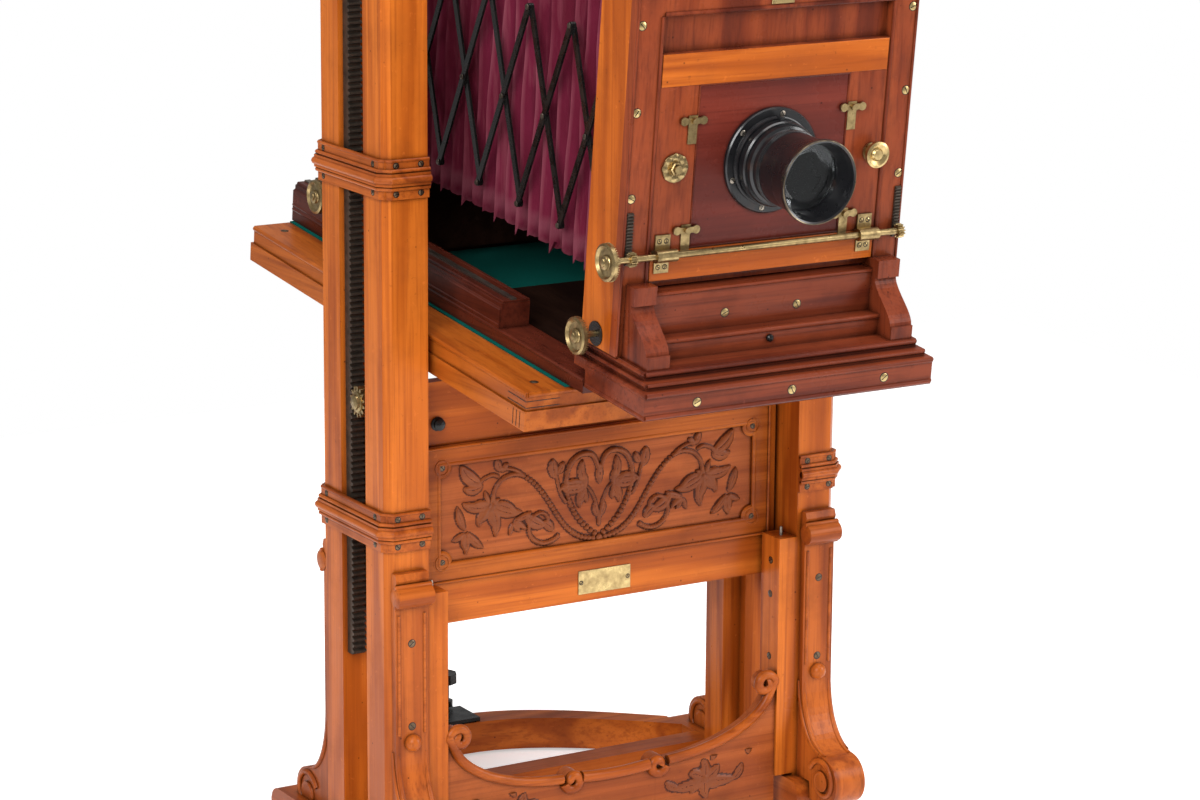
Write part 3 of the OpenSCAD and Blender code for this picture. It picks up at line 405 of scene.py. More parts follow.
class Piece:
    """Collects shapes in millimetres, then makes one object that rides on a body."""

    def __init__(self):
        self.verts = []
        self.faces = []
        self.relief = []

    def add(self, verts, faces, matrix=None, relief=None):
        start = len(self.verts)
        for i, v in enumerate(verts):
            self.verts.append(matrix @ Vector(v) if matrix is not None else Vector(v))
            self.relief.append(1.0 if relief is None else relief[i])
        self.faces += [tuple(i + start for i in f) for f in faces]

    def add_rings(self, verts, n, place=None):
        """Skins rings of n points each and closes both ends."""
        rings = len(verts) // n
        ends = [tuple(reversed(range(n))), tuple(range((rings - 1) * n, rings * n))]
        self.add(verts, skin(rings, n) + ends, place)

    def box(self, lo, hi):
        v = [(x, y, z) for x in (lo[0], hi[0]) for y in (lo[1], hi[1]) for z in (lo[2], hi[2])]
        self.add(v, [(0, 1, 3, 2), (4, 6, 7, 5), (0, 4, 5, 1), (2, 3, 7, 6), (0, 2, 6, 4), (1, 5, 7, 3)])

    def lathe(self, profile, place, n=40):
        """profile: (radius, height) pairs about place's Z axis."""
        verts = [(r * math.cos(2 * math.pi * k / n), r * math.sin(2 * math.pi * k / n), h)
                 for r, h in profile for k in range(n)]
        self.add_rings(verts, n, place)

    def tube(self, path, radius, n=10, flat=1.0, up=(0, 1, 0)):
        """A round or flattened tube along path; radius is a number or one number per point."""
        points = [Vector(p) for p in path]
        radii = radius if hasattr(radius, "__len__") else [radius] * len(points)
        verts = []
        for i, p in enumerate(points):
            ahead = (points[min(i + 1, len(points) - 1)] - points[max(i - 1, 0)]).normalized()
            side = ahead.cross(Vector(up)).normalized()
            lift = side.cross(ahead).normalized()
            for k in range(n):
                a = 2 * math.pi * k / n
                verts.append(p + side * math.cos(a) * radii[i] + lift * math.sin(a) * radii[i] * flat)
        self.add_rings(verts, n)

    def prism(self, outline, place, depth):
        """Extrudes an XY outline by depth along place's Z axis."""
        n = len(outline)
        verts = [(x, y, z) for z in (0, depth) for x, y in outline]
        faces = [tuple(reversed(range(n))), tuple(range(n, 2 * n))]
        faces += [(k, (k + 1) % n, n + (k + 1) % n, n + k) for k in range(n)]
        self.add(verts, faces, place)

    def done(self, name, body, mat, space, slot=None, edge=0.0, smooth=35):
        """Makes the object, with its millimetres taken from the given space."""
        data = bpy.data.meshes.new(name)
        data.from_pydata([space @ v for v in self.verts], [], self.faces)
        attribute = data.attributes.new("relief", "FLOAT", "POINT")
        attribute.data.foreach_set("value", np.array(self.relief, np.float32))
        bm = bmesh.new()
        bm.from_mesh(data)
        bmesh.ops.recalc_face_normals(bm, faces=bm.faces)
        bm.to_mesh(data)
        bm.free()
        data.materials.append(mat)
        for polygon in data.polygons:
            polygon.use_smooth = True
        data.set_sharp_from_angle(angle=math.radians(smooth))
        obj = bpy.data.objects.new(name, data)
        bpy.context.scene.collection.objects.link(obj)
        if edge:
            bevel(obj, edge)
        if body:
            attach(obj, body)
        return obj


def at(x, y, z, axis):
    """Place whose Z axis points along the given direction."""
    return Matrix.Translation((x, y, z)) @ along(axis)


def screw(head, slots, x, y, z, axis, r, turn):
    """Slotted countersunk screw: a domed head in one piece, and its dark slot and rim in another."""
    place = at(x, y, z, axis)
    head.lathe([(r, -0.4), (r, 0.25), (r * 0.75, 0.75), (0.01, 0.95)], place, 20)
    c, s = math.cos(turn), math.sin(turn)
    long, thin = r * 0.86, 0.45
    corners = [(-long, -thin), (long, -thin), (long, thin), (-long, thin)]
    slot = [(c * u - s * v, s * u + c * v) for u, v in corners]
    slots.prism(slot, place @ Matrix.Translation((0, 0, 0.55)), 0.5)
    slots.lathe([(r + 0.9, -0.5), (r + 0.9, 0.12), (r, 0.14), (0.01, 0.14)], place, 20)


def screws(name, body, space, places, axis, r=5.0, mat=brass):
    """A group of screws, each turned to its own angle."""
    head, slots = Piece(), Piece()
    for i, (x, y, z) in enumerate(places):
        screw(head, slots, x, y, z, axis, r, 0.4 + 1.7 * i)
    head.done(name, body, mat, space, "brass")
    slots.done(name + "_slots", body, iron, space, "iron")


def circle(x, y, z, r, n):
    """Closed path about (x, z) in the plane at y."""
    angles = [2 * math.pi * k / n for k in range(n + 1)]
    return [(x + r * math.cos(a), y, z + r * math.sin(a)) for a in angles]


FRONT = (0, -1, 0)
UP = (0, 0, 1)
ALONG_X = (1, 0, 0)
SIDES = ((1, "right"), (-1, "left"))


# ---------- carved relief ----------
def bezier(p0, p1, p2, p3):
    steps = 26
    points = []
    for i in range(steps + 1):
        t = i / steps
        u = 1 - t
        points.append(tuple(u ** 3 * a + 3 * u * u * t * b + 3 * u * t * t * c + t ** 3 * d
                            for a, b, c, d in zip(p0, p1, p2, p3)))
    return points


def stem(points, w0, w1, h):
    """Samples of a tapering rounded stroke: x, z, half width, height."""
    n = len(points) - 1
    return [(x, z, w0 + (w1 - w0) * i / n, h) for i, (x, z) in enumerate(points)]


def leaf(x, z, angle, length, width, h=4.2, bend=0.5):
    """A pointed leaf that bends as it grows."""
    out = []
    a = math.radians(angle)
    steps = 22
    for i in range(steps + 1):
        t = i / steps
        half_width = width * math.sin(math.pi * (0.12 + 0.86 * t)) ** 0.8
        out.append((x, z, max(0.8, half_width), h * (0.75 + 0.25 * t)))
        x += math.cos(a) * length / steps
        z += math.sin(a) * length / steps
        a += bend / steps
    return out


def flower(x, z, r, petals):
    """Petals round a domed middle."""
    first = 17.1
    out = [leaf(x, z, first + 360 * k / petals, r, r * 0.30, 3.8, 0.7) for k in range(petals)]
    out.append([(x, z, r * 0.24, 5.0)])
    return out


def spray(x, z, r, angles, seed=0.0):
    """A cluster of small leaves of uneven length that spread from one point."""
    out = []
    for k, angle in enumerate(angles):
        swing = math.sin(7.3 * k + seed)
        root = 0.16 * r
        a = math.radians(angle)
        out.append(leaf(x + root * math.cos(a), z + root * math.sin(a), angle, r * (0.8 + 0.25 * swing),
                        r * (0.17 + 0.03 * swing), 4.2 + 0.4 * swing, 0.9 * math.cos(3.1 * k + seed)))
    return out


def spiral(x, z, r0, r1, start, turns):
    """Points from radius r0 to r1 about (x, z)."""
    steps = 34
    points = []
    for i in range(steps + 1):
        r = r0 + (r1 - r0) * i / steps
        a = start + turns * 2 * math.pi * i / steps
        points.append((x + r * math.cos(a), z + r * math.sin(a)))
    return points


def carve(strokes, x0, x1, z0, z1, step, floor_y):
    """Height field of rounded strokes and their mirror images on a flat ground, as Piece.add takes it."""
    nx, nz = int((x1 - x0) / step) + 1, int((z1 - z0) / step) + 1
    gx, gz = np.meshgrid(np.linspace(x0, x1, nx), np.linspace(z0, z1, nz), indexing="ij")
    height = np.zeros_like(gx)
    tone = np.zeros_like(gx)
    for stroke in strokes:
        widest = max(w for x, z, w, h in stroke)
        is_leaf = widest > 4.6
        halo = 1 + 1.3 / widest
        for s in (1, -1):
            near, dome = np.full_like(gx, 9.0), np.zeros_like(gx)
            for x, z, w, h in stroke:
                d = np.hypot(gx - s * x, gz - z) / w
                near = np.minimum(near, d)
                dome = np.maximum(dome, h * np.sqrt(np.clip(1 - d * d, 0, 1)))
            # A leaf has a vein along its middle, and each stroke a dark line round it; the dark tone of the
            # veins, the stroke edges and the ring on the ground round each stroke is painted shade in the
            # grooves
            shape = dome * (1 - 0.35 * np.exp(-(near / 0.16) ** 2)) if is_leaf else dome
            shaded = np.where((near > 0.86) | (is_leaf & (near < 0.13)), 0.2, 0.55 + 0.09 * shape)
            top = (near < 1) & (shape > height)
            tone = np.where(top, shaded, np.where((near < halo) & (height < 0.05), 0.2, tone))
            height = np.where(top, shape, height)
    points = zip(gx.ravel(), gz.ravel(), height.ravel())
    verts = [(float(x), floor_y - float(up), float(z)) for x, z, up in points]
    faces = [(i * nz + j, i * nz + j + 1, (i + 1) * nz + j + 1, (i + 1) * nz + j)
             for i in range(nx - 1) for j in range(nz - 1)]
    return verts, faces, None, [float(c) for c in tone.ravel()]


def panel_strokes(z):
    """A heart with leaves in it, and on each side a stem with buds and leaf clusters; z is the middle."""
    out = [
        stem(bezier((0, z - 58), (60, z - 22), (62, z + 50), (24, z + 54)), 3.4, 3.6, 4.6),
        stem(bezier((24, z + 54), (6, z + 56), (4, z + 40), (1, z + 30)), 3.6, 2.6, 4.6),
        stem(bezier((2, z - 60), (64, z - 60), (64, z + 8), (112, z + 36)), 3.6, 3.0, 4.4),
        stem(bezier((112, z + 36), (140, z + 50), (168, z + 20), (150, z + 2)), 3.0, 2.2, 4.2),
        stem(bezier((112, z + 36), (128, z + 52), (142, z + 46), (146, z + 52)), 2.4, 2.2, 3.8),
        stem(spiral(84, z - 30, 30, 9, -2.4, 0.8), 3.2, 2.4, 4.2),
        stem(bezier((50, z - 6), (64, z + 12), (60, z + 26), (66, z + 34)), 2.2, 1.8, 3.6),
        leaf(66, z + 30, 70, 22, 7.5, 4.2, 0.4), leaf(60, z + 34, 130, 14, 5.0, 3.8, -0.5),
        leaf(146, z + 48, 60, 15, 5.5, 4.0, 0.4), leaf(143, z + 46, 120, 12, 4.4, 3.8, 0.4),
        leaf(84, z - 32, 10, 30, 9.0, 4.4, 0.9), leaf(82, z - 30, 200, 18, 6.5, 4.2, 0.9),
        leaf(176, z + 34, 20, 38, 9.5, 4.8, 0.9), leaf(174, z + 30, -30, 26, 7.0, 4.2, 1.1),
        stem(bezier((150, z + 40), (158, z + 46), (168, z + 40), (178, z + 34)), 2.2, 2.0, 3.6),
    ]
    # Leaf clusters that hang from the outer curl
    out += spray(160, z + 4, 40, (188, 216, 244, 270, 296, 322, 350), 0.6)
    out += spray(128, z - 22, 24, (170, 205, 240, 280), 2.0)
    out += spray(196, z - 26, 30, (60, 235, 262, 290, 320), 1.1)
    out += spray(160, z + 4, 20, (20, 60, 110, 150, 200, 260, 310), 1.9)
    out += [stem([(158, z + 2), (160, z)], 4.4, 4.4, 5.4)]
    # Drooping leaves and a bud inside the heart
    out += spray(20, z + 12, 34, (62, 20, -18, -52, -84), 0.3)
    out += spray(22, z + 6, 22, (100, 30, -40, -110), 2.4)
    out += [stem(bezier((0, z - 42), (2, z - 24), (4, z - 4), (18, z + 10)), 2.2, 1.8, 3.6),
            leaf(0, z + 14, 90, 24, 5.5, 4.6, 0.0), leaf(2, z - 30, 60, 18, 4.8, 3.8, 0.5)]
    return out


PANEL_BORDER, GROUND_DEPTH = 24, 5.0
panel_lo, panel_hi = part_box("carriage_panel")
panel_z0, panel_z1 = panel_lo.z * 1000 + PANEL_BORDER, panel_hi.z * 1000 - PANEL_BORDER
relief_x = panel_hi.x * 1000 - PANEL_BORDER
board_y = 1000 * (panel_lo.y - centre_y) + GROUND_DEPTH
strokes = panel_strokes(500 * (panel_lo.z + panel_hi.z))
panel_carving = Piece()
panel_carving.add(*carve(strokes, -relief_x, relief_x, panel_z0, panel_z1, 1.2, board_y - 0.1))
panel_carving.done("panel_carving", "carriage", carved, STAND, "carved_wood", smooth=60)

# Moulded frame round the carving: two mitred beads
beads = Piece()
for inset, radius, depth in ((0, 3.4, 2.6), (-21.5, 1.8, 6.0)):
    x, z0, z1, y = relief_x - inset, panel_z0 + inset, panel_z1 - inset, board_y - depth
    for a, b in (((-x, z0), (x, z0)), ((x, z0), (x, z1)), ((x, z1), (-x, z1)), ((-x, z1), (-x, z0))):
        beads.tube([(a[0], y, a[1]), (b[0], y, b[1])], radius, 12)
beads.done("panel_beads", "carriage", tan["x"], STAND, "carved_wood")

# ---------- apron ----------
apron_lo, apron_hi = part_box("front_apron")
apron_w = apron_hi.x * 1000
apron_y = 1000 * (apron_lo.y - centre_y)
# Height of the arch's middle, radius of a curl, height of the side curls, and place of the inner curls
ARCH, CURL, SIDE_TOP, INNER = 96, 13, 182, 64


def apron_edge():
    """The scroll band of the right half, from the middle of the arch to the top curl, with radii."""
    start = [(x, ARCH + 2 + 3 * (x / (INNER - CURL)) ** 2) for x in (0, 13, 26, 38, INNER - CURL)]
    inner = spiral(INNER, ARCH + 2, 4, CURL, -0.3, 1.02)
    reach, rise = apron_w - 8 - INNER, SIDE_TOP - ARCH - 6
    sweep = [(INNER + reach * math.sin(u), ARCH + 6 + rise * (1 - math.cos(u)))
             for u in (math.pi / 2 * i / 18 for i in range(1, 17))]
    outer = spiral(apron_w - CURL - 4, SIDE_TOP, CURL + 2, 3, 0.2, 1.2)
    return (start, 7.5), (inner, 6.5), (sweep + outer, 6.5)


band = Piece()
for side in (1, -1):
    for path, radius in apron_edge():
        band.tube([(side * x, apron_y - 1.5, z) for x, z in path], radius, 12)
band.done("apron_band", "stand", amber["x"], STAND, "carved_wood", smooth=60)

flowers = Piece()
bloom = flower(138, 66, 27, 6) + [leaf(138, 66, 200, 52, 8, 4.0, -0.5), leaf(138, 66, 340, 50, 8, 4.0, 0.5),
                                  leaf(96, 60, 170, 22, 6, 3.6, -0.8), leaf(182, 60, 20, 24, 6, 3.6, 1.2),
                                  leaf(206, 92, 80, 34, 6, 3.6, -0.4), leaf(150, 92, 60, 22, 5, 3.6, 0.6)]
for x0, x1 in ((62, 226), (-226, -62)):
    flowers.add(*carve(bloom, x0, x1, 28, 96, 1.7, apron_y - 0.2))
flowers.done("apron_flowers", "stand", carved, STAND, "carved_wood", smooth=60)

# ---------- brackets ----------
POST_HALF = 29.5
post_x = 1000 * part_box("front_posts")[1].x - POST_HALF
post_inner, post_outer = post_x - POST_HALF, post_x + POST_HALF
column_half = 500 * (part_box("rear_posts")[1].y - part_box("front_posts")[0].y)
BRACKET_HALF, VOLUTE_OUT, VOLUTE_Z = 23.0, 62, 57.0


def swept_edge(x, front, out, top, share, steps):
    """Path down the bracket's swept edge, a share of a quarter ellipse."""
    reach, drop = 56, 95
    return [(x, front * (column_half + out + reach * (1 - math.cos(u))), top - drop * math.sin(u))
            for u in (math.pi / 2 * (0.04 + share * i / steps) for i in range(steps + 1))]


scrolls = Piece()
for side in (1, -1):
    for front in (-1, 1):
        volute_y = front * (column_half + VOLUTE_OUT)
        for face in (-1, 1):
            x = side * post_x + face * (BRACKET_HALF + 0.6)
            path = [(x, volute_y + front * (r * math.cos(a)), VOLUTE_Z + r * math.sin(a))
                    for r, a in ((5 + 25 * t, -0.6 + 9.6 * t) for t in (i / 44 for i in range(45)))]
            scrolls.tube(path, [3.0 + 1.2 * i / 44 for i in range(45)], 8, 0.9, ALONG_X)
            # Bead that follows the swept edge on the flank
            radii = [1.2 + 2.2 * math.sin(math.pi * (0.1 + 0.85 * i / 18)) for i in range(19)]
            scrolls.tube(swept_edge(x, front, 2, 187, 0.9, 18), radii, 8, 0.7, ALONG_X)
        # Rolls along both edges of the swept face
        for dx in (-19, 19):
            radii = [2.0 + 1.6 * math.sin(math.pi * i / 20) for i in range(21)]
            scrolls.tube(swept_edge(side * post_x + dx, front, 8.6, 185, 0.93, 20), radii, 10, 0.9)
scrolls.done("bracket_scrolls", "stand", amber["z"], STAND, "carved_wood", smooth=60)

caps = Piece()
for side in (1, -1):
    for front in (-1, 1):
        # The cap's half-round roll, and a bead below and above it
        for z, r in ((384, 13.0), (372, 3.0), (397, 3.4)):
            place = at(side * post_x - 26, front * (column_half + 13.6), z, ALONG_X)
            caps.lathe([(r * 0.7, 0), (r, 1.5), (r, 50.5), (r * 0.7, 52)], place, 28)
        # Small bead down each side of the raised strip
        strip_y = front * (column_half + 9.4)
        for dx in (-18, 18):
            caps.tube([(side * post_x + dx, strip_y, z) for z in (360, 300, 240, 204)], 2.2, 8)
caps.done("bracket_caps", "stand", amber["x"], STAND, "carved_wood", smooth=50)

# ---------- collars and their screws ----------
COLLAR_Z = (440, 882, 1324)     # lower edges
collar_beads = Piece()
for side in (1, -1):
    for z0 in COLLAR_Z:
        # Height above the collar's edge, distance out from the post, and radius of each bead
        for up, out, r in ((13.5, 5.6, 2.6), (24.5, 8.2, 4.6), (35.5, 5.6, 2.6), (47.5, 3.6, 2.0)):
            x, y, z = post_outer + out, column_half + out, z0 + up
            c = 9 + out * 0.59
            outline = [(post_inner, -y), (x - c, -y), (x, c - y), (x, y - c), (x - c, y), (post_inner, y)]
            for a, b in zip(outline, outline[1:]):
                collar_beads.tube([(side * a[0], a[1], z), (side * b[0], b[1], z)], r, 12, 1.0, UP)
                collar_beads.lathe([(0.01, -r), (r * 0.7, -r * 0.7), (r, 0), (r * 0.7, r * 0.7), (0.01, r)],
                                   at(side * b[0], b[1], z, UP), 16)
collar_beads.done("collar_beads", "stand", amber["y"], STAND, "mahogany", smooth=50)

BAND_OUT = 4.6      # how far a collar's flat bands stand out from the posts
screw_rows = [z0 + up for z0 in COLLAR_Z for up in (7, 42)]
front_spots = [(side * (post_x + dx), -column_half - BAND_OUT, z)
               for z in screw_rows for side in (1, -1) for dx in (-18, 16)]
screws("collar_screws", "stand", STAND, front_spots, FRONT, 3.2, dull_screw)
for side, label in SIDES:
    side_spots = [(side * (post_outer + BAND_OUT), y, z)
                  for z in screw_rows for y in (22 - column_half, column_half - 22)]
    screws("collar_side_screws_" + label, "stand", STAND, side_spots, (side, 0, 0), 3.2, dull_screw)
strip_spots = [(side * post_x, -column_half - 9.7, z) for side in (1, -1) for z in (322, 214)]
screws("bracket_screws", "stand", STAND, strip_spots, FRONT, 4.4, dull_screw)

BATTEN_W = 27
for side, label in SIDES:
    batten_spots = [(side * (post_inner - BATTEN_W - 0.1), -68, z) for z in (346, 300, 214)]
    screws("batten_screws_" + label, "stand", STAND, batten_spots, (-side, 0, 0), 4.0, dull_screw)
    pin = Piece()
    pin.lathe([(2.6, -6), (2.6, 10), (1.6, 12), (0.01, 12.4)], at(side * 262, -70, 379, UP), 18)
    pin.done("batten_pin_" + label, "stand", steel, STAND, "steel")

# ---------- lift pinions: a brass hub on the outer end of each, inside the collars ----------
HUB_X = 328.2
hubs = Piece()
for side in (1, -1):
    hubs.lathe([(13, 0), (13, 1.0), (9.5, 1.8), (9, 4.2), (7.5, 5.0), (0.01, 5.2)],
               at(side * HUB_X, 0, 0, (side, 0, 0)), 32)
hubs.done("pinion_hubs", "lift_shaft", brass, LIFT_SHAFT, "brass")

# ---------- carriage trim ----------
corners = Piece()
corner_spots = [(side * (relief_x - 4), z) for side in (1, -1) for z in (panel_z0 + 4, panel_z1 - 4)]
for x, z in corner_spots:
    corners.lathe([(15, 0), (15, 3.2), (12.5, 5.2), (0.01, 5.4)], at(x, board_y, z, FRONT), 36)
    corners.tube(circle(x, board_y - 5.4, z, 9.5, 30), 0.9, 8)
corners.done("panel_corners", "carriage", tan["x"], STAND, "carved_wood")
PLATE_Y, RAIL_Y = -38.3, -37
corner_faces = [(x, board_y - 5.4, z) for x, z in corner_spots]
rail_spots = [(side * 258, RAIL_Y, z) for side in (1, -1) for z in (334, 361)]
screws("panel_screws", "carriage", STAND, corner_faces, FRONT, 3.4, dull_screw)
screws("plate_screws", "carriage", STAND, [(x, PLATE_Y, 345.5) for x in (-25, 45)], FRONT, 2.2)
screws("rail_screws", "carriage", STAND, rail_spots, FRONT, 3.8, dull_screw)
bosses = Piece()
boss_profile = [(9, 0), (9, 1.5), (6.5, 3), (6.5, 6), (7.5, 8), (4, 10), (0.01, 10.3)]
for side in (1, -1):
    bosses.lathe(boss_profile, at(side * 235, RAIL_Y, 582, FRONT), 28)
bosses.done("board_bosses", "carriage", iron, STAND, "iron")

# ---------- table trim ----------
# Fine dark lines of the finger joints at the table's front corners
joints = Piece()
for side in (1, -1):
    for y in (-304, -296, -288):
        joints.box((side * 265.25 - 0.2, y, -46), (side * 265.25 + 0.2, y + 0.8, -26))
    for z in (-20, -12):
        x0, x1 = sorted((side * 262, side * 216))
        joints.box((side * 262.2 - 0.3, -312.3, z), (side * 262.2 + 0.3, -268, z + 0.7))
        joints.box((x0, -312.35, z), (x1, -312.05, z + 0.7))
joints.done("corner_joints", "table", iron, TABLE)
table_spots = [(side * 234, y, 0) for side in (1, -1) for y in (-280, 60, 394)]
screws("table_screws", "table", TABLE, table_spots, UP, 4.6, dull_screw)

# Rounded nosing along the table's upper edges
NOSE_R = 3.4
nosing = Piece()
for side in (1, -1):
    nosing.tube([(side * 261.2, -311, -NOSE_R), (side * 261.2, 428, -NOSE_R)], NOSE_R, 12, 1.0, UP)
nosing.tube([(-260, -311.2, -NOSE_R), (260, -311.2, -NOSE_R)], NOSE_R, 12)
nosing.done("table_nosing", "table", tan["y"], TABLE, "light_wood")

# ---------- bed ----------
rail_mould = Piece()
for side in (1, -1):
    # Place across the bed, height and radius of each bead; the low one runs on to the bed's front
    for x, z, r in ((202.6, 17.6, 2.6), (200.2, 44.0, 2.4), (196.6, 52.4, 2.6), (166.0, 53.0, 2.2),
                    (203.2, 24.0, 2.0)):
        y0 = -342 if z < 20 else -136
        rail_mould.tube([(side * x, y0, z), (side * x, 432, z)], r, 12, 1.0, UP)
    rail_mould.box((side * 182 - 20, -137.6, 20), (side * 182 + 20, -136.4, 52))
rail_mould.done("rail_mouldings", "table", rail_wood, TABLE, "mahogany")

# Black sheet that closes the rear standard below the bellows: it blocks light from behind, and its black is
# painted shade standing in for the dark seen there
shade_sheet = Piece()
shade_sheet.box((-154, 206.4, 14.5), (154, 207.6, 118))
shade_sheet.done("rear_shade_sheet", "rear_standard", dark_board, TABLE, "bellows_cloth")

# ---------- front standard ----------
FACE = -396.4       # front face of the frame
stile_spots = [(side * 187.5, FACE, z) for side in (1, -1) for z in (457, 355, 253)]
for name, places, r in (("stile_screws", stile_spots, 5.0),
                        ("plinth_screws", [(x, -478.7, 26) for x in (-131, 1, 133)], 5.2),
                        ("box_screws", [(x, FACE - 6.1, 104) for x in (-51, 51)], 5.0),
                        ("top_rail_screws", [(x, FACE, 500) for x in (-120, 120)], 5.0)):
    screws(name, "table", TABLE, places, FRONT, r, bright_brass)

frame_beads = Piece()
for side in (1, -1):
    for x, out, z0, z1, r in ((160.6, 0.4, 141, 466, 2.2), (193.6, 0.2, 64, 510, 1.8)):
        frame_beads.tube([(side * x, FACE - out, z0), (side * x, FACE - out, z1)], r, 10)
for x, z in ((158, 468.5), (194, 509)):
    frame_beads.tube([(-x, FACE - 0.2, z), (x, FACE - 0.2, z)], 2.6, 10)
frame_beads.done("frame_beads", "table", mahogany["z"], TABLE, "mahogany")

top_plate = Piece()
top_plate.box((-14, FACE - 1.2, 472), (17, FACE, 488))
top_plate.done("blank_top_plate", "table", bright_brass, TABLE, "brass", 0.4)
screws("top_plate_screws", "table", TABLE, [(x, FACE - 1.2, 480) for x in (-11.5, 14.5)], FRONT, 1.6)

# Lines of the plinth's mouldings
steps = Piece()
for y, z, half, r in ((-478.2, 40.5, 201, 3.4), (-478.2, 14.0, 201, 3.0), (-469.0, 49.0, 195, 2.8),
                      (-456.2, 58.0, 190, 3.4)):
    steps.tube([(-half, y, z), (half, y, z)], r, 12)
    for side in (1, -1):
        steps.tube([(side * half, y, z), (side * half, -346 if z < 45 else -318, z)], r, 12, 1.0, UP)
steps.tube([(-156, -424.2, 84.5), (156, -424.2, 84.5)], 3.2, 12)
steps.tube([(-156, -402.6, 136), (156, -402.6, 136)], 2.4, 12)
steps.done("plinth_mouldings", "table", mahogany["x"], TABLE, "mahogany")

bolt = Piece()
bolt.lathe([(4.5, 0), (4.5, 3), (3, 4.5), (0.01, 5)], at(0, -424.4, 74, FRONT), 20)
bolt.done("shelf_bolt", "table", iron, TABLE, "iron")

# Iron plate behind the lock knob, on the side post
escutcheon = Piece()
round_plate = [(x, z) for x, _, z in circle(0, 0, 0, 15, 40)[:-1]]
escutcheon.prism(round_plate, at(-195, -350, 77.8, (-1, 0, 0)), 1.6)
escutcheon.done("lock_escutcheon", "table", iron, TABLE, "iron", 0.3)

# ---------- rising panel ----------
rails = Piece()
for z0, z1 in ((150.8, 186), (382.8, 421.2)):
    rails.box((-157, FACE - 0.9, z0), (157, FACE + 1, z1))
rails.done("panel_rails", "rising_panel", honey["x"], TABLE, "light_wood", 0.6)
board_bead = Piece()
board_corners = [(-104, 188), (104, 188), (104, 382), (-104, 382)]
for a, b in zip(board_corners, board_corners[1:] + board_corners[:1]):
    board_bead.tube([(a[0], FACE - 0.1, a[1]), (b[0], FACE - 0.1, b[1])], 1.2, 8)
board_bead.done("lens_board_bead", "rising_panel", mahogany["x"], TABLE, "mahogany")

LENS_Z = 285
flange_spots = [(57 * math.cos(a), FACE - 5.5, LENS_Z + 57 * math.sin(a))
                for a in (math.pi / 3 * k + 0.35 for k in range(6))]
clip_spots = [(side * x, FACE - 2.5, z) for side in (1, -1) for z in (168, 199) for x in (137.4, 146.6)]
screws("flange_screws", "rising_panel", TABLE, flange_spots, FRONT, 3.6, steel)
screws("clip_screws", "rising_panel", TABLE, clip_spots, FRONT, 2.4, bright_brass)

ROSETTE_X, ROSETTE_Z = -132, 286
petals = Piece()
for x, y, z in circle(ROSETTE_X, FACE - 1.0, ROSETTE_Z, 12.5, 8)[:-1]:
    petals.lathe([(5.2, 0), (5.2, 1.6), (3.4, 2.6), (0.01, 3.0)], at(x, y, z, FRONT), 18)
petals.lathe([(8.5, 0), (8.5, 4.5), (7, 5.5), (6, 5.5), (6, 3.5), (0.01, 3.5)],
             at(ROSETTE_X, FACE - 2.5, ROSETTE_Z, FRONT), 6)
petals.done("rosette_petals", "rising_panel", brass, TABLE, "brass", 0.2)

# Fine ridges on the lens: on the flange's neck, the iris ring and the barrel
ridges = Piece()
for out, r in ((7.4, 53.4), (9.2, 52.9), (41, 45.3), (43.4, 45.3), (46, 45.3)):
    ridges.tube(circle(0, FACE - out, LENS_Z, r, 64), 0.8, 8)
ridges.done("barrel_ridges", "rising_panel", black, TABLE, "lens_black")
grip = Piece()
for x, _, z in circle(0, FACE, LENS_Z, 51.4, 72)[:-1]:
    grip.tube([(x, FACE - 14.8, z), (x, FACE - 22.0, z)], 0.8, 6)
grip.done("iris_grip", "iris_ring", black, TABLE, "lens_black")
hood_rim = Piece()
hood_rim.tube(circle(0, FACE - 106.4, LENS_Z, 49.8, 72), 0.7, 8)
hood_rim.done("hood_rim", "rising_panel", rim_brass, TABLE, "lens_black")

# ---------- knobs: a turned boss and a milled rim on each large knob ----------
for name, body, x, y, z in (("lock_knob_boss", "lock_knob", -225.6, -350, 77.8),
                            ("rise_knob_boss", "rise_rod", -225.6, -406.96, 183.5),
                            ("focus_knob_boss", "focus_shaft", -230.6, 321, 66.16)):
    boss = Piece()
    boss.lathe([(9, -1.5), (8.4, 0.4), (5, 1.2), (4.6, 2.6), (2.5, 3.2), (0.01, 3.3)],
               at(x, y, z, (-1, 0, 0)), 28)
    for k in range(48):
        c, s = math.cos(2 * math.pi * k / 48), math.sin(2 * math.pi * k / 48)
        ridge = [(x + 4.6 + d, y + 22.3 * c, z + 22.3 * s) for d in (0, 3.6)]
        boss.tube(ridge, 0.55, 6, 1.0, (0, c, s))
    boss.done(name, body, brass, TABLE, "brass")


# ---------- bellows ----------
BELLOWS_FRONT, BELLOWS_BACK = FACE + 14.6, 207.5
FOLDS, CUTS = 21, 4     # folds, and slices from a valley to the next ridge
RIDGE_W, VALLEY_W, BOTTOM, TOP = 151.0, 131.0, 121.0, 488.0


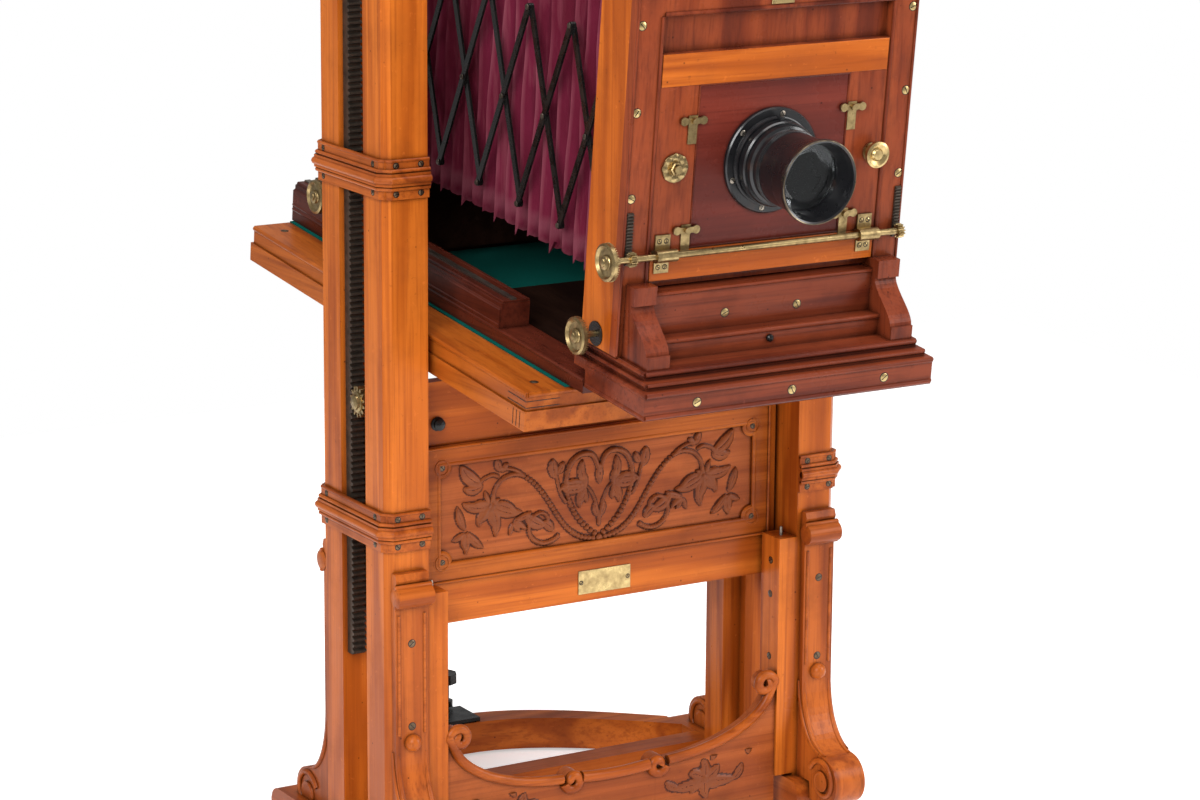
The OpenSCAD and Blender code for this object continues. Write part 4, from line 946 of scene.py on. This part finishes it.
def bellows_ring(u, ridge):
    """Closed outline in x and z; u counts half folds from the front, ridge goes from 0 in a valley to 1."""
    w = VALLEY_W + (RIDGE_W - VALLEY_W) * ridge
    cut = 30 - 18 * ridge
    # Worn points of uneven length along the lower edge
    tip = (16 + 10 * math.sin(2.4 * round(u / 2) + 1)) * ridge ** 3
    tip += 2.5 * math.sin(7.7 * u) * math.sin(1.3 * u)
    z0, z1 = BOTTOM + 15 - 15 * ridge, TOP - 15 + 15 * ridge
    half = [(0, z0), (w * 0.5, z0 + 1.5 * math.sin(u * 1.7)), (w - cut, z0), (w - cut * 0.35, z0 + cut * 0.3),
            (w - 0.5, z0 + cut - tip * 0.7), (w, z0 + cut + 6)]
    for t in (i / 12 for i in range(1, 12)):
        wave = 1.6 * math.sin(9 * t + u * 1.3) * math.sin(math.pi * t)
        sink = 2.6 * math.sin(math.pi * t) * (1 - ridge)
        half.append((w + wave - sink, z0 + cut + 6 + (z1 - z0 - 2 * cut - 6) * t))
    half += [(w, z1 - cut), (w - cut * 0.35, z1 - cut * 0.3), (w - cut, z1), (w * 0.5, z1)]
    return half + [(0, z1)] + [(-x, z) for x, z in reversed(half[1:])]


def bellows():
    """Deep vertical folds that hang in points below; each point keeps its ridge value, which the cloth uses
    for paler ridges (rubbed wear and painted highlight) and painted shade in the valleys.
    """
    slices = FOLDS * 2 * CUTS
    verts, relief = [], []
    for k in range(slices + 1):
        u = k / CUTS
        ridge = abs((u % 2) - 1)
        y = BELLOWS_FRONT + (BELLOWS_BACK - BELLOWS_FRONT) * k / slices
        ring = [(x, y + 1.2 * math.sin(z * 0.045 + u * 2.1), z) for x, z in bellows_ring(u, ridge)]
        verts += ring
        relief += [ridge] * len(ring)
    piece = Piece()
    piece.add(verts, skin(slices + 1, len(ring)), None, relief)
    obj = piece.done("bellows_folds", None, cloth, TABLE, "bellows_cloth", smooth=30)
    hem = [min(1.0, max(0.0, (BOTTOM + 62 - z) / 80)) for x, y, z in verts]
    obj.data.attributes.new("hem", "FLOAT", "POINT").data.foreach_set("value", np.array(hem, np.float32))
    shell = obj.modifiers.new("cloth_thickness", "SOLIDIFY")
    shell.thickness = 0.0012
    shell.offset = -1
    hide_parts("bellows")
    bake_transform(obj)


bellows()

# ---------- tongs: a rubbed rivet at each crossing of the bars ----------
TONG_FRONT, TONG_STEP, TONG_LOW = -303.0, 101.2, 166.0
TONG_BAR = 266.0
TONG_HIGH = TONG_LOW + math.sqrt(TONG_BAR ** 2 - TONG_STEP ** 2)
for cell in range(1, TONG_CELLS + 1):
    rivets = Piece()
    for side in (1, -1):
        for step, z in ((cell - 1, TONG_LOW), (cell - 0.5, (TONG_LOW + TONG_HIGH) / 2), (cell, TONG_HIGH)):
            # The pins at both ends of the chain sit inside the standards' lugs
            if step in (0, TONG_CELLS):
                continue
            rivets.lathe([(3.6, 0), (3.3, 1.1), (1.8, 1.8), (0.01, 2.0)],
                         at(side * 167.9, TONG_FRONT + step * TONG_STEP, z, (side, 0, 0)), 18)
    rivets.done(f"tong_rivets_{cell}", f"tong_a{cell}", rack_iron, TABLE, "iron")

# ---------- stage, light and camera ----------
floor = bpy.data.objects.new("floor", bpy.data.meshes.new("floor"))
FLOOR = 2.4
floor_corners = [(x * FLOOR, y * FLOOR, 0) for x, y in ((-1, -1), (1, -1), (1, 1), (-1, 1))]
floor.data.from_pydata(floor_corners, [], [(0, 1, 2, 3)])
bpy.context.scene.collection.objects.link(floor)
pale = Shader("pale_floor")
cloudy = pale.noise(pale.coord, 3.0, 2.0)
pale.set(Base_Color=pale.mix(cloudy, (0.93, 0.93, 0.93), (0.95, 0.95, 0.95)), Roughness=0.8,
         Emission_Color=(1, 1, 1, 1), Emission_Strength=0.45)
floor.data.materials.append(pale.mat)

# White backdrop for the camera, and a softer white light from all round
BACKDROP, FILL = 1.0, 0.36
world = bpy.data.worlds.new("studio")
bpy.context.scene.world = world
world.use_nodes = True
sky = world.node_tree.nodes["Background"]
sky.inputs["Color"].default_value = (1, 1, 1, 1)
ray = world.node_tree.nodes.new("ShaderNodeLightPath")
strength = world.node_tree.nodes.new("ShaderNodeMapRange")
world.node_tree.links.new(ray.outputs["Is Camera Ray"], strength.inputs["Value"])
strength.inputs["To Min"].default_value, strength.inputs["To Max"].default_value = FILL, BACKDROP
world.node_tree.links.new(strength.outputs["Result"], sky.inputs["Strength"])
bpy.context.scene.view_settings.view_transform = "Standard"


def softbox(name, place, target, size, power):
    """Rectangular lamp at a place in metres, turned to its target."""
    light = bpy.data.objects.new(name, bpy.data.lights.new(name, "AREA"))
    light.data.shape = "RECTANGLE"
    light.data.size, light.data.size_y = size
    light.data.energy = power
    light.location = place
    light.rotation_euler = (Vector(target) - Vector(place)).to_track_quat("-Z", "Y").to_euler()
    bpy.context.scene.collection.objects.link(light)


softbox("key_left", (-2.6, -2.4, 2.6), (0, 0, 0.8), (1.6, 2.2), 150)
softbox("fill_right", (2.8, -2.2, 1.8), (0, 0, 0.8), (1.6, 2.0), 90)
softbox("top", (0.2, -0.4, 3.6), (0, 0, 0.6), (2.4, 2.4), 95)

cam = bpy.data.objects.new("camera", bpy.data.cameras.new("camera"))
bpy.context.scene.collection.objects.link(cam)
bpy.context.scene.camera = cam
cam.data.sensor_width = 36
cam.data.lens = 113.74
cam.location = STAND @ Vector((-2421.4, -4093.9, 1708.4))
# Turned from straight along +Y to the right, down, and about the line of sight
heading, pitch, roll = (math.radians(a) for a in (30.85, 13.37, 0.43))
forward = Vector((math.sin(heading) * math.cos(pitch), math.cos(heading) * math.cos(pitch), -math.sin(pitch)))
cam.rotation_mode = "QUATERNION"
cam.rotation_quaternion = forward.to_track_quat("-Z", "Y") @ Matrix.Rotation(roll, 4, "Z").to_quaternion()
cam.data.clip_start, cam.data.clip_end = 0.05, 60
